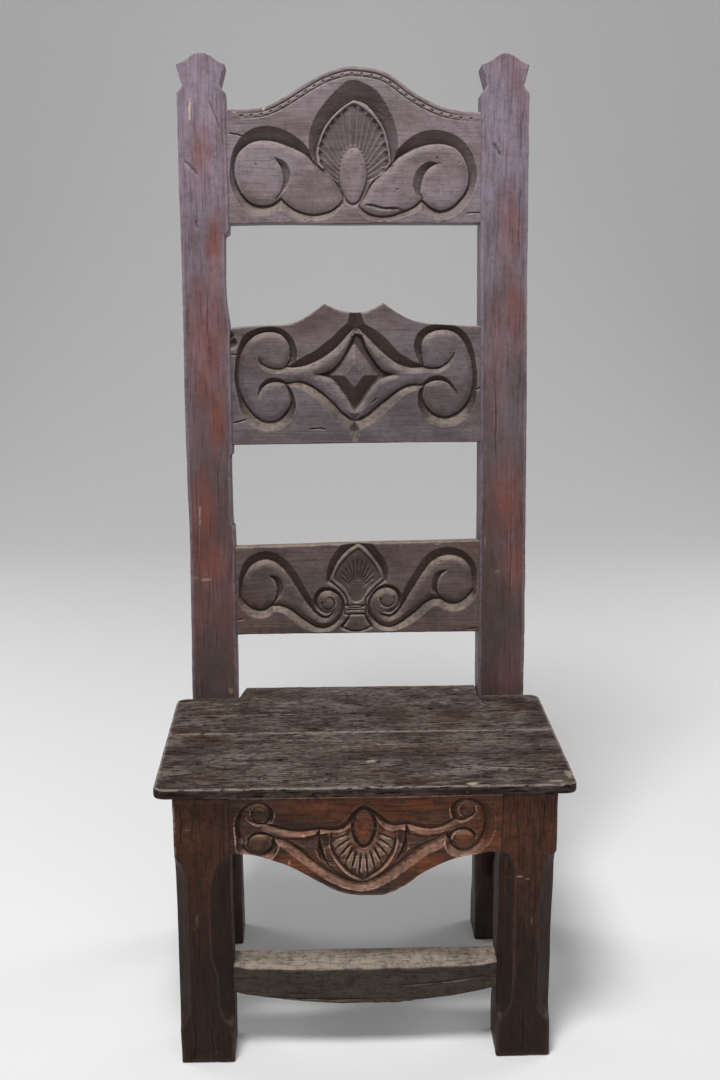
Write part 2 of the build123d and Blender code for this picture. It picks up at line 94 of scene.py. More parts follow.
SEAT_TOP = front_board_high[2]
SEAT_UNDER = front_board_low[2]
POST_LENGTH = (post_high[2] - SEAT_TOP) / cos(LEAN)
POST_TOP_FRONT_Y = post_high[1] - POST_DEPTH * cos(LEAN)
POST_FRONT_Y = POST_TOP_FRONT_Y - POST_LENGTH * sin(LEAN)
KNEE = np.array((POST_FRONT_Y, SEAT_TOP)) + POST_DEPTH * INTO[1:]


def leaning(start, x, v, depth):
    """Places on a face that leans back with the posts, v up it from where it starts."""
    return start + x[..., None] * (1, 0, 0) + v[..., None] * UP + depth[..., None] * INTO


def leaning_face(node):
    """Places on the front face of a back rail: (x, v, depth) to the row frame."""
    low, _ = corners(node)
    return partial(leaning, np.array((0, low[1], low[2] + RAIL_THICKNESS * sin(LEAN))))


def upright_face(front_y, base_z):
    """Places on a face that looks forward and stands upright."""

    def place(x, v, depth):
        return np.stack((x, front_y + depth, base_z + v), -1)

    return place


def flat_top(top_z):
    """Places on a board's top: x across, v from front to back, depth down."""

    def place(x, v, depth):
        return np.stack((x, v, top_z - depth), -1)

    return place


def side_face(outer_x, base_z):
    """Places on a rail's outer side: x from front to back, v up, depth towards the middle."""

    def place(x, v, depth):
        return np.stack((outer_x - np.sign(outer_x) * depth, x, base_z + v), -1)

    return place


def post_face(x, v, depth):
    """Places on a back post: v up the leaning front from the seat's top, and down the leg."""
    upper = leaning(np.array((0, POST_FRONT_Y, SEAT_TOP)), x, v, depth)
    height = SEAT_TOP + v
    foot_front_y = post_low[1]
    foot_back_y = foot_front_y + REAR_FOOT_DEPTH
    front_y = POST_FRONT_Y - (POST_FRONT_Y - foot_front_y) * np.clip(1 - height / SEAT_UNDER, 0, 1)
    share = height / SEAT_TOP
    back_y = foot_back_y + (KNEE[0] - foot_back_y) * share
    back_z = KNEE[1] * share
    through = depth / POST_DEPTH
    leg_y = front_y + (back_y - front_y) * through
    leg_z = height + (back_z - height) * through
    return np.where((v >= 0)[..., None], upper, np.stack((x, leg_y, leg_z), -1))


# ---------------------------------------------------------------- curves and noise


def smooth(points, closed=False, steps=6):
    """A smooth curve through the points, their further columns too. A point given twice is a corner."""
    points = np.array(points, float)
    if closed:
        padded = np.vstack((points[-1:], points, points[:2]))
    else:
        padded = np.vstack((points[:1], points, points[-1:]))
    curve = []
    for a, b, c, d in zip(padded, padded[1:], padded[2:], padded[3:]):
        if np.allclose(b[:2], c[:2]):
            continue
        into = np.zeros_like(b) if np.allclose(a[:2], b[:2]) else (c - a) / 2
        out = np.zeros_like(b) if np.allclose(c[:2], d[:2]) else (d - b) / 2
        for t in np.arange(steps) / steps:
            curve.append(
                (2 * t**3 - 3 * t**2 + 1) * b
                + (t**3 - 2 * t**2 + t) * into
                + (3 * t**2 - 2 * t**3) * c
                + (t**3 - t**2) * out
            )
    curve.append(padded[-2])
    return np.array(curve)


def height_along(points, x):
    """The height of a smooth outline, given as points from left to right, at each x."""
    curve = smooth(points)
    return np.interp(x, curve[:, 0], curve[:, 1])


def arc(centre, radius, start, end, *columns, steps=24):
    """Points on an arc, from one angle in degrees to another, each with the same further columns."""
    angles = np.radians(np.linspace(start, end, steps))
    return [
        (centre[0] + radius * cos(angle), centre[1] + radius * sin(angle), *columns)
        for angle in angles
    ]


def travelled(curve):
    """How far along a curve each of its points lies."""
    return np.concatenate(((0,), np.cumsum(np.hypot(*np.diff(curve[:, :2], axis=0).T))))


def evenly(curve, share):
    """The place a share of the way along a curve."""
    run = travelled(curve)
    return np.array([np.interp(share * run[-1], run, curve[:, axis]) for axis in (0, 1)])


NOISE_VALUES = 4096
NOISE_PRIMES = (73856093, 19349663, 83492791)


def noise(points, seed):
    """Smooth noise from -1 to 1 at each point."""
    values = np.random.default_rng(seed).uniform(-1, 1, NOISE_VALUES)
    cell = np.floor(points).astype(int)
    share = points - cell
    share = share * share * (3 - 2 * share)
    total = np.zeros(points.shape[:-1])
    for step in product((0, 1), repeat=3):
        key = (cell + step) * NOISE_PRIMES
        weight = np.prod(np.where(step, share, 1 - share), axis=-1)
        total += weight * values[(key[..., 0] ^ key[..., 1] ^ key[..., 2]) % NOISE_VALUES]
    return total


def noise_along(x, wave, seed):
    """Smooth noise from -1 to 1 along one line."""
    return noise(np.stack((x / wave, np.zeros_like(x), np.zeros_like(x)), -1), seed)


# ---------------------------------------------------------------- carving tools


LEAST_WIDTH = 0.5
FULL_CROWN_DEPTH = 4
FLUTE_HALF_SHARE = 0.52


class Carving:
    """How deep a face is cut at each place of a grid, and how much its colour is darkened there: old wax, and
    painted shade.

    relief deepens every trench and valley alike.
    """

    def __init__(self, x, v, relief=1.0):
        self.x = x
        self.v = v
        self.relief = relief
        self.depth = np.zeros_like(x)
        self.wax_and_shade = np.zeros_like(x)

    def sink(self, depth):
        """Cut where there is a depth to cut, so that a raised place elsewhere stays raised."""
        self.depth = np.where(depth > 0, np.maximum(self.depth, depth), self.depth)

    def darken(self, share):
        """Mark how much the colour is darkened, from 0 to 1: old wax and painted shade."""
        self.wax_and_shade = np.maximum(self.wax_and_shade, np.clip(share, 0, 1))

    def nearest(self, path, reach):
        """How far each place lies from the path, + on the left of travel, and its columns there."""
        best = np.full(self.x.shape, np.inf)
        offset = np.zeros(self.x.shape)
        columns = np.zeros(self.x.shape + (path.shape[1] - 2,))
        for a, b in zip(path, path[1:]):
            run = b[:2] - a[:2]
            length = np.hypot(*run)
            if length < 1e-6:
                continue
            low = np.minimum(a, b)[:2] - reach
            high = np.maximum(a, b)[:2] + reach
            spots = np.nonzero(
                (self.x > low[0]) & (self.x < high[0]) & (self.v > low[1]) & (self.v < high[1])
            )
            from_x = self.x[spots] - a[0]
            from_v = self.v[spots] - a[1]
            share = np.clip((from_x * run[0] + from_v * run[1]) / length**2, 0, 1)
            away = np.hypot(from_x - share * run[0], from_v - share * run[1])
            aside = (run[0] * from_v - run[1] * from_x) / length
            known = best[spots]
            closer = away < known - 1e-4
            closer |= (away < known + 1e-4) & (np.abs(aside) > np.abs(offset[spots]))
            spots = tuple(axis[closer] for axis in spots)
            best[spots] = away[closer]
            offset[spots] = aside[closer]
            columns[spots] = a[2:] + share[closer, None] * (b - a)[2:]
        return np.where(offset < 0, -best, best), columns

    def trench(self, points, side, closed=False, wall=2.5, crown=1.0, crown_width=12, waxed_and_shaded=1):
        """Set a motif's edge in: (x, v, depth, bevel) points, its bevel on the left (1) or right (-1).

        The wall on the other side is steep, and the motif's top falls towards it by the crown.
        waxed is how much the bevel is darkened, by old wax and painted shade.
        """
        path = smooth(points, closed)
        away, columns = self.nearest(path, max(path[:, 3].max(), crown_width))
        depth = self.relief * columns[..., 0]
        bevel = np.maximum(columns[..., 1], LEAST_WIDTH)
        out = away * side
        slope = depth * np.clip(1 - out / bevel, 0, 1)
        inward = np.clip(-out / wall, 0, 1)
        drop = depth * (1 - np.sqrt(1 - (1 - inward) ** 2))
        fall = crown * np.minimum(depth / FULL_CROWN_DEPTH, 1) * np.clip(1 + out / crown_width, 0, 1) ** 1.8
        near = np.isfinite(away)
        self.sink(np.where(near, np.where(out >= 0, slope, np.maximum(drop, fall)), 0))
        # Darken the bevel by its slope, and the wall: old wax and painted shade.
        dark = np.where(out >= 0, waxed_and_shaded * np.clip(2 * slope, 0, 1), drop / 3)
        self.darken(np.where(near, dark, 0))

    def valley(self, points, waxed_and_shaded=1):
        """Cut a straight-sided valley: (x, v, depth, half width) points."""
        path = smooth(points)
        away, columns = self.nearest(path, path[:, 3].max())
        share = np.clip(1 - np.abs(away) / np.maximum(columns[..., 1], LEAST_WIDTH), 0, 1)
        self.sink(self.relief * columns[..., 0] * share)
        self.darken(2 * waxed_and_shaded * columns[..., 0] * share)

    def score(self, points, width, depth):
        """Scratch a line that fades at its ends."""
        path = smooth(points)
        run = travelled(path)
        fade = np.clip(6 * np.minimum(run, run[-1] - run) / max(run[-1], 1e-6), 0.15, 1)
        path = np.column_stack((path[:, :2], fade))
        away, columns = self.nearest(path, 2 * width)
        share = np.clip(1 - (np.abs(away) / width) ** 2, 0, 1)
        self.sink(depth * columns[..., 0] * share)
        self.darken(depth * columns[..., 0] * share)

    def score_each(self, lines, width, depth):
        """Scratch several lines alike."""
        for line in lines:
            self.score(line, width, depth)

    def score_marks(self, marks):
        """Scratch the marks of use: (points, width, depth) each."""
        for points, width, depth in marks:
            self.score(points, width, depth)

    def hollow(self, points, side, depth, wall=2.0, waxed_and_shaded=0.7):
        """Lower the ground inside a closed outline, on the left (1) or right (-1) of travel."""
        path = smooth(points, closed=True)
        spread = np.ptp(path[:, :2], axis=0).max()
        away, _ = self.nearest(path, spread)
        inside = np.where(np.isfinite(away), away * side, 0)
        share = np.clip(inside / wall, 0, 1)
        self.sink(depth * np.sqrt(1 - (1 - share) ** 2))
        self.darken(waxed_and_shaded * share)

    def gouge(self, start, end, start_width, end_width, depth, lean):
        """Cut one flute with a rounded outer end, deeper on the left (1) or the right (-1) side."""
        path = np.array(((*start, start_width), (*end, end_width)), float)
        away, columns = self.nearest(path, end_width)
        aside = np.clip(away / np.maximum(columns[..., 0], 0.3), -1, 1)
        share = np.where(np.isfinite(away), np.clip(1 - aside**2, 0, 1), 0)
        self.sink(depth * np.sqrt(share) * (0.75 + 0.45 * lean * aside))

    def fan(self, inner, outer, count, ground, depth):
        """Cut flutes side by side, from an inner curve to an outer one, below the ground's depth."""
        starts = [evenly(smooth(inner), (k + 0.5) / count) for k in range(count)]
        ends = [evenly(smooth(outer), (k + 0.5) / count) for k in range(count)]
        start_width, end_width = (
            FLUTE_HALF_SHARE * np.hypot(*np.diff(places, axis=0).T).mean() for places in (starts, ends)
        )
        kept = self.depth
        self.depth = np.zeros_like(kept)
        for start, end in zip(starts, ends):
            lean = 1 if end[0] < start[0] else -1
            self.gouge(start, end, start_width, end_width, depth, lean)
        self.depth = np.where(self.depth > 0, np.maximum(kept, ground + self.depth), kept)

    def boss(self, centre, half_width, half_height, height, narrowing=0.0, proud=0.0, moat=0.0):
        """Round off an egg, narrower towards its foot, standing proud, with a moat round it."""
        up = (self.v - centre[1]) / half_height
        across = (self.x - centre[0]) / (half_width * (1 + narrowing * np.clip(up, -1, 1)))
        from_middle = np.hypot(across, up)
        round_it = moat * np.clip(1 - np.abs(from_middle - 1.06) / 0.16, 0, 1)
        self.sink(round_it)
        dome = height * (1 - np.sqrt(np.clip(1 - from_middle**2, 0, 1))) - proud
        inside = from_middle < 1
        self.depth = np.where(inside, dome, self.depth)
        # Darken the dome's rim and its moat: painted shade round the egg and the balls.
        rim = np.clip((from_middle - 0.8) / 0.2, 0, 1)
        self.wax_and_shade = np.where(inside, rim, np.maximum(self.wax_and_shade, np.clip(round_it / 2, 0, 1)))

    def dent(self, x, v, radius, depth=2.0):
        """Press a round dent."""
        from_middle = np.hypot(self.x - x, self.v - v) / radius
        self.sink(depth * np.clip(1 - from_middle**2, 0, 1) ** 1.5)

    def peg_seat(self, x, v, radius=4.6, depth=0.45):
        """Clear the timber over a flush peg, so that its end shows."""
        from_middle = np.hypot(self.x - x, self.v - v)
        self.depth = np.where(from_middle < radius, self.depth + depth, self.depth)


# ---------------------------------------------------------------- meshes


def skin(name, rings):
    """A closed mesh over rings of equal length, with both ends filled."""
    count, around = rings.shape[:2]
    ring = np.arange(count - 1)[:, None] * around
    spot = np.arange(around)[None, :]
    following = (spot + 1) % around
    quads = np.stack((ring + spot, ring + following, ring + around + following, ring + around + spot), -1)
    last = (count - 1) * around
    places = np.vstack((rings.reshape(-1, 3), rings[0].mean(0), rings[-1].mean(0)))
    hub = count * around
    caps = [(hub, (j + 1) % around, j) for j in range(around)]
    caps += [(hub + 1, last + j, last + (j + 1) % around) for j in range(around)]
    mesh = bpy.data.meshes.new(name)
    mesh.from_pydata((places * MM).tolist(), [], quads.reshape(-1, 4).tolist() + caps)
    mesh.update()
    if signed_volume(mesh) < 0:
        mesh.flip_normals()
    mesh.shade_smooth()
    piece = bpy.data.objects.new(name, mesh)
    bpy.context.scene.collection.objects.link(piece)
    return piece


def signed_volume(mesh):
    """The volume inside a closed mesh, below 0 where its faces look inwards."""
    mesh.calc_loop_triangles()
    count = len(mesh.loop_triangles)
    spots = np.empty(count * 3, np.int32)
    mesh.loop_triangles.foreach_get("vertices", spots)
    a, b, c = vertex_places(mesh)[spots.reshape(-1, 3)].transpose(1, 0, 2)
    return np.einsum("ij,ij->", a, np.cross(b, c)) / 6


def vertex_places(mesh):
    """Where each point of a mesh is, in metres."""
    places = np.empty(len(mesh.vertices) * 3, np.float32)
    mesh.vertices.foreach_get("co", places)
    return places.reshape(-1, 3).astype(float)


def vertex_normals(mesh):
    """Which way the surface looks at each point of a mesh."""
    normals = np.empty(len(mesh.vertices) * 3, np.float32)
    mesh.vertex_normals.foreach_get("vector", normals)
    return normals.reshape(-1, 3).astype(float)


ROUND_UP_TO = 6
FLAT_FROM = 10
BACK_ROWS = 14
SIDE_ROWS = 9


def rounded(from_edge, size, into):
    """How far a worn arris falls away at a distance from the edge: a quarter round, or a flat."""
    share = np.clip(1 - from_edge / np.maximum(size, 1e-3), 0, 1)
    flat = np.clip((np.maximum(size, into) - ROUND_UP_TO) / (FLAT_FROM - ROUND_UP_TO), 0, 1)
    return into * (flat * share + (1 - flat) * (1 - np.sqrt(1 - share**2)))


def timber(name, face, place, thickness, arris, back_arris=None, end_wear=0):
    """A closed timber behind a front face. The face's rings follow each other along the grain.

    arris and back_arris each hold the wear of the first and the last edge, as (along the face,
    into the timber), as numbers or one for each ring.
    """
    x, v, depth = face.x, face.v, face.depth
    back_arris = back_arris or arris
    rings = x.shape[0]
    from_first = np.hypot(x - x[:, :1], v - v[:, :1])
    from_last = np.hypot(x - x[:, -1:], v - v[:, -1:])
    middle = x.shape[1] // 2
    run = travelled(np.column_stack((x[:, middle], v[:, middle])))
    from_end = np.minimum(run, run[-1] - run)
    end_inset = rounded(from_end, np.float64(end_wear), end_wear)[:, None]

    def lost(pairs):
        """How much wear has taken off along both edges."""
        first, last = (
            [np.broadcast_to(np.asarray(value, float), rings)[:, None] for value in pair] for pair in pairs
        )
        return np.maximum(rounded(from_first, *first), rounded(from_last, *last))

    def all_round(places):
        """The face's places, then those of its last side, its back and its first side."""
        first_side, last_side = (np.repeat(places[:, [edge]], SIDE_ROWS, axis=1) for edge in (0, -1))
        return np.hstack((places, last_side, places[:, picks], first_side))

    front_cut = lost(arris)
    front = np.where(front_cut > 0, np.maximum(depth, front_cut), depth) + end_inset
    picks = np.round(np.linspace(x.shape[1] - 1, 0, BACK_ROWS)).astype(int)
    back = (thickness - end_inset - lost(back_arris))[:, picks]
    share = np.linspace(0, 1, SIDE_ROWS + 2)[1:-1]
    last_side = front[:, -1:] + share * (back[:, :1] - front[:, -1:])
    first_side = back[:, -1:] + share * (front[:, :1] - back[:, -1:])
    all_depth = np.hstack((front, last_side, back, first_side))
    return skin(name, place(all_round(x), all_round(v), all_depth))


def grid(along, low, high, pitch):
    """Places across a face: rings along one way, rows from low to high at each ring."""
    rows = int(np.max(high - low) / pitch) + 2
    share = np.linspace(0, 1, rows)[None, :]
    across = low[:, None] + share * (high - low)[:, None]
    return np.repeat(along[:, None], rows, axis=1), across


ADZE_WAVE = (26, 95)
FACET_WAVE = (11, 38)
GRAIN_WAVE = (2.6, 30)


def roughen(piece, grain, seed, hollow, ripple):
    """Leave the adze's long hollows and the open grain's ripple in every face."""
    mesh = piece.data
    places = vertex_places(mesh) / MM
    along = np.array(grain, float) / np.linalg.norm(grain)
    run = places @ along
    across = places - run[:, None] * along
    amount = np.zeros(len(places))
    waves = ((hollow, ADZE_WAVE), (0.5 * hollow, FACET_WAVE), (ripple, GRAIN_WAVE))
    for number, (height, (width, length)) in enumerate(waves):
        amount += height * noise(across / width + run[:, None] * along / length, seed + number)
    places += vertex_normals(mesh) * amount[:, None]
    mesh.vertices.foreach_set("co", (places * MM).astype(np.float32).ravel())
    mesh.update()


RELIEF_ROUNDS = 8
FULL_RELIEF = 0.6


def mark_relief(piece):
    """Store how far each point stands out of its surroundings, for dirt in hollows and for worn edges with a
    painted highlight.

    A height of FULL_RELIEF is stored as 1.
    """
    mesh = piece.data
    places = vertex_places(mesh) / MM
    edges = np.empty(len(mesh.edges) * 2, np.int32)
    mesh.edges.foreach_get("vertices", edges)
    a, b = edges.reshape(-1, 2).T
    count = len(places)
    neighbours = np.bincount(a, minlength=count) + np.bincount(b, minlength=count)
    soft = places.copy()
    for _ in range(RELIEF_ROUNDS):
        total = np.stack(
            [
                np.bincount(a, soft[b, axis], count) + np.bincount(b, soft[a, axis], count)
                for axis in range(3)
            ],
            -1,
        )
        soft = 0.5 * soft + 0.5 * total / neighbours[:, None]
    store(piece, "relief", np.einsum("ij,ij->i", places - soft, vertex_normals(mesh)) / FULL_RELIEF)


def store(piece, name, values):
    """Keep one value from -1 to 1 for each point of a piece, for its material to read."""
    layer = piece.data.attributes.new(name, "FLOAT", "POINT")
    layer.data.foreach_set("value", np.clip(values, -1, 1).astype(np.float32))


def mark_dust_and_painted_light(piece, share, least=0.12, full=0.7):
    """Store how far each face looks up, for dust and painted light from above, and below 0 how far it looks
    down, for painted shade.
    """
    looks_up = (vertex_normals(piece.data)[:, 2] - least) / (full - least)
    store(piece, "dust_and_painted_light", np.where(looks_up > 0, share * np.clip(looks_up, 0, 1), looks_up))


def mark_bare(piece, spots, on_top=False):
    """Store ragged bare spots on a piece's front or top.

    Each is (x, along, reach across, reach along, strength), along being z on a front and y on a top.
    """
    places = vertex_places(piece.data) / MM
    normals = vertex_normals(piece.data)
    facing = normals[:, 2] if on_top else -normals[:, 1]
    place_along = places[:, 1] if on_top else places[:, 2]
    ragged = 0.45 * noise(places / 5, 7) + 0.35 * noise(places / 1.9, 8)
    values = np.zeros(len(places))
    for x, along, across_reach, along_reach, strength in spots:
        away = np.hypot((places[:, 0] - x) / across_reach, (place_along - along) / along_reach)
        values = np.maximum(values, strength * np.clip(2.2 * (1.1 + ragged - away), 0, 1))
    store(piece, "bare", values * np.clip(2 * facing, 0, 1))


def mark_patches(piece, patches):
    """Store where handling has worn the timber warm: (x, z, reach across, reach along)."""
    places = vertex_places(piece.data) / MM
    values = np.zeros(len(places))
    for x, z, across, along in patches:
        away = np.hypot((places[:, 0] - x) / across, (places[:, 2] - z) / along)
        values = np.maximum(values, np.clip(1.3 - away, 0, 1))
    store(piece, "warm", values)


def dress(piece, material, slot, *nodes):
    """Finish a piece: its material, its body and the CAD nodes that it stands for; slot is not used."""
    piece.data.materials.append(material)
    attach(piece, ROOT)
    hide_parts(*nodes)
    return piece


# ---------------------------------------------------------------- old oak


class Nodes:
    """A material and short names for the shader nodes that build it."""

    def __init__(self, name):
        self.material = bpy.data.materials.new(name)
        self.material.use_nodes = True
        self.tree = self.material.node_tree
        self.shader = self.tree.nodes["Principled BSDF"]

    def feed(self, node, inputs):
        """Link sockets to a node's inputs, or set plain values there."""
        for key, value in inputs.items():
            if isinstance(value, bpy.types.NodeSocket):
                self.tree.links.new(value, node.inputs[key])
            else:
                node.inputs[key].default_value = value

    def add(self, kind, inputs, **settings):
        """A new node."""
        node = self.tree.nodes.new(kind)
        for key, value in settings.items():
            setattr(node, key, value)
        self.feed(node, inputs)
        return node

    def stretched(self, coordinates, across, along):
        """The coordinates scaled across the grain (x and y) and along it (z), per metre."""
        inputs = {0: coordinates, 1: (across, across, along)}
        return self.add("ShaderNodeVectorMath", inputs, operation="MULTIPLY").outputs[0]

    def noise(self, coordinates, scale=1.0, detail=3.0, roughness=0.55, distortion=0.0):
        """Noise from 0 to 1."""
        inputs = {
            "Vector": coordinates, "Scale": scale, "Detail": detail, "Roughness": roughness,
            "Distortion": distortion,
        }
        return self.add("ShaderNodeTexNoise", inputs).outputs["Fac"]

    def between(self, value, low, high, to_low=0.0, to_high=1.0):
        """A smooth step from to_low, at the value low, to to_high, at the value high."""
        inputs = {"Value": value, 1: low, 2: high, 3: to_low, 4: to_high}
        return self.add("ShaderNodeMapRange", inputs, interpolation_type="SMOOTHSTEP").outputs[0]

    def maths(self, operation, a, b):
        """One operation on two values."""
        return self.add("ShaderNodeMath", {0: a, 1: b}, operation=operation).outputs[0]

    def times(self, a, b):
        """The product of two values."""
        return self.maths("MULTIPLY", a, b)

    def plus(self, a, b):
        """The sum of two values."""
        return self.maths("ADD", a, b)

    def mix(self, share, a, b):
        """Colour a turned to colour b by a share."""
        return self.add("ShaderNodeMix", {"Factor": share, 6: a, 7: b}, data_type="RGBA").outputs[2]

    def mark(self, name):
        """What a piece has stored for each of its points."""
        return self.add("ShaderNodeAttribute", {}, attribute_name=name).outputs["Fac"]


def colour(red, green, blue):
    """A colour as it looks on screen, 0 to 255, for a shader."""
    linear = [
        c / 12.92 if c <= 0.04045 else ((c + 0.055) / 1.055) ** 2.4
        for c in (red / 255, green / 255, blue / 255)
    ]
    return (*linear, 1)


def tones(**shades):
    """Colours by name, each as it looks on screen."""
    return {name: colour(*shade) for name, shade in shades.items()}


GRAIN_TURNS = {
    "x": Euler((0, radians(90), 0)),
    "y": Euler((radians(90), 0, 0)),
    "z": Euler((0, 0, 0)),
    "lean": Euler((LEAN, 0, 0)),
}
FOOT_FADE = (0.34, 0.40)
BUMP_DISTANCE = 0.0011
BUMP_STRENGTH = 0.7
DIRT = colour(17, 12, 10)
# The next tone is dust with painted light, for faces that look up.
DUST_AND_LIGHT = colour(156, 140, 128)
# Painted shade, for faces that look down.
PAINTED_SHADE = colour(52, 38, 32)
BARE_OAK = colour(182, 163, 143)
SPECK = colour(170, 160, 150)


def oak(
    name, grain, body, deep, warm, grey, lower=None, warmth=0.4, painted_sheen=0.4, lines=0.4, pores=0.5,
    streaky=0.5, edges=0.7, waxed_and_shaded=0.5, exposed=0.2, dust_and_light=0.9, dust_and_light_tone=DUST_AND_LIGHT, painted_shade=0.8,
    painted_shade_tone=PAINTED_SHADE, speckle=0.3, specked=0.35, rough=0.5, shine=0.25, scale=1.0, short=1.0,
    heights=(0.4, 1.3), foot=None, seed=0.0,
):
    """Old dark oak: ring lines, fibres, open pores, worn red patches, dirt and dust, with a painted sheen,
    painted highlights on worn edges, painted light on faces that look up and painted shade on faces
    that look down and in the cuts. A timber that stands tall is painted darker low down, as painted shade,
    and a post darker again below the seat.
    """
    n = Nodes(name)
    place = n.add("ShaderNodeTexCoord", {}).outputs["Object"]
    turned = n.add(
        "ShaderNodeMapping",
        {"Vector": place, "Location": (seed, 1.7 * seed, 0.6 * seed), "Rotation": GRAIN_TURNS[grain]},
    ).outputs[0]
    figure = n.noise(n.stretched(turned, 13 * scale, 1.3 * scale), detail=2, roughness=0.4, distortion=0.25)
    ring = n.maths("PINGPONG", n.times(figure, 16), 0.5)
    streaks = n.noise(n.stretched(turned, 150 * scale, 6 * scale * short), detail=3, roughness=0.6)
    fibres = n.noise(n.stretched(turned, 520, 18 * short), detail=3, roughness=0.7)
    pore = n.between(n.noise(n.stretched(turned, 430, 21 * short), detail=1), 0.575, 0.68)
    patches = n.noise(n.stretched(turned, 11, 4), detail=4, roughness=0.6, distortion=0.5)
    clouds = n.noise(n.stretched(turned, 22, 11), detail=6, roughness=0.65)
    mottle = n.noise(turned, 120, detail=4, roughness=0.7)
    specks = n.noise(turned, 330, detail=1)

    # Painted light from above: darker and browner low down with less painted sheen, and a post's foot darker
    # again without its sheen tone.
    if lower:
        height = n.add("ShaderNodeSeparateXYZ", {0: place}).outputs[2]
        body = n.mix(n.between(height, *heights), lower, body)
        painted_sheen = n.between(height, *heights, 0.25 * painted_sheen, painted_sheen)
    if foot:
        above_foot = n.between(height, *FOOT_FADE)
        body = n.mix(above_foot, foot, body)
        grey = n.mix(above_foot, lower, grey)
    grain_tone = n.plus(n.times(streaks, 0.45), n.times(fibres, 0.55))
    tone = n.mix(n.between(grain_tone, 0.34, 0.6, 1 - streaky, 1), deep, body)
    tone = n.mix(n.between(clouds, 0.3, 0.5, 0.35, 0), tone, deep)
    warm_share = n.times(n.between(patches, 0.45, 0.62), warmth)
    handled = n.times(n.mark("warm"), n.between(patches, 0.3, 0.56, 0.35, 1))
    warm_share = n.times(n.maths("MAXIMUM", warm_share, handled), n.between(fibres, 0.3, 0.6, 0.55, 1))
    tone = n.mix(warm_share, tone, warm)
    # Painted sheen: cloudy patches turned to the sheen tone, standing in for reflected light.
    painted_sheen_share = n.times(n.between(clouds, 0.4, 0.62), painted_sheen)
    tone = n.mix(n.times(painted_sheen_share, n.between(fibres, 0.34, 0.6, 0.4, 1)), tone, grey)
    tone = n.mix(n.times(n.between(ring, 0.0, 0.17, 1, 0), lines), tone, deep)
    tone = n.mix(n.between(mottle, 0.35, 0.54, speckle, 0), tone, deep)

    cut = n.mark("cut")
    relief = n.mark("relief")
    facing = n.mark("dust_and_painted_light")
    # Old wax and painted shade in the cuts, on steep bevels, facets and chamfers.
    tone = n.mix(n.times(cut, waxed_and_shaded), tone, deep)
    # Painted shade on faces that look down, stronger in the cuts.
    painted_shade_share = n.times(n.between(facing, -0.62, -0.26, painted_shade, 0), n.between(cut, 0.1, 0.6, exposed, 1))
    painted_shade_share = n.times(painted_shade_share, n.between(clouds, 0.36, 0.62, 1, 0.66))
    tone = n.mix(painted_shade_share, tone, painted_shade_tone)
    # Worn edges with a painted highlight: convex places turned to the sheen tone, less where they look down.
    edge = n.times(n.between(relief, 0.1, 0.7, 0, edges), n.between(mottle, 0.32, 0.55, 0.25, 1))
    edge = n.times(edge, n.between(cut, 0.2, 0.7, 1, 0.15))
    edge = n.times(edge, n.between(facing, -0.5, -0.1, 0.05, 1))
    tone = n.mix(edge, tone, grey)
    # Dust and painted light on faces that look up.
    dust_and_painted_light = n.times(n.between(facing, 0, 1), n.between(clouds, 0.34, 0.58, 0.45, 1))
    dust_and_painted_light = n.times(dust_and_painted_light, n.between(mottle, 0.3, 0.6, 0.4 * dust_and_light, dust_and_light))
    tone = n.mix(dust_and_painted_light, tone, dust_and_light_tone)
    dirt = n.between(relief, -0.75, -0.1, 0.6, 0)
    tone = n.mix(n.times(dirt, n.between(mottle, 0.35, 0.6, 1, 0.6)), tone, DIRT)
    pore_share = n.times(pore, pores)
    tone = n.mix(pore_share, tone, DIRT)
    tone = n.mix(n.between(specks, 0.74, 0.79, 0, specked), tone, SPECK)
    bare = n.times(n.mark("bare"), n.between(fibres, 0.3, 0.5, 0.45, 1))
    bare = n.times(bare, n.between(cut, 0.25, 0.8, 1, 0.1))
    tone = n.mix(bare, tone, BARE_OAK)

    dull = n.between(clouds, 0.35, 0.65, rough - 0.08, rough + 0.12)
    dull = n.plus(dull, n.times(n.maths("MAXIMUM", dirt, pore_share), 0.3))
    dull = n.plus(dull, n.times(dust_and_painted_light, 0.25))
    surface = n.plus(n.times(streaks, 0.4), n.times(fibres, 0.6))
    surface = n.plus(surface, n.times(mottle, 0.25))
    surface = n.maths("SUBTRACT", surface, n.times(pore_share, 0.6))
    bump = n.add("ShaderNodeBump", {"Height": surface, "Distance": BUMP_DISTANCE, "Strength": BUMP_STRENGTH})
    n.feed(n.shader, {"Base Color": tone, "Specular IOR Level": shine})
    n.feed(n.shader, {"Roughness": dull, "Normal": bump.outputs[0]})
    return n.material


# ---------------------------------------------------------------- carved rails

CARVED_PITCH = 1.0
TIMBER_PITCH = 1.5
RAIL_REACH = 181
RAIL_WEAR = 1.6


def carved_rail(name, place, top, bottom, thickness, carve, relief, material, slot, seed, bare=(), warm=()):
    """A board between two posts whose front face is carved, its top and bottom edges as drawn."""
    along = np.arange(-RAIL_REACH, RAIL_REACH + CARVED_PITCH, CARVED_PITCH)
    low = height_along(bottom, along)
    high = height_along(top, along)
    face = Carving(*grid(along, low, high, CARVED_PITCH), relief)
    carve(face)
    lip = worn(along, RAIL_WEAR, seed)
    under = worn(along, RAIL_WEAR, seed + 3)
    piece = timber(name, face, place, thickness, ((under, under), (lip, lip)))
    store(piece, "cut", padded(face.wax_and_shade, piece))
    roughen(piece, (1, 0, 0), seed, hollow=0.45, ripple=0.14)
    mark_relief(piece)
    mark_dust_and_painted_light(piece, 0.8)
    mark_bare(piece, bare)
    mark_patches(piece, warm)
    return dress(piece, material, slot, name)


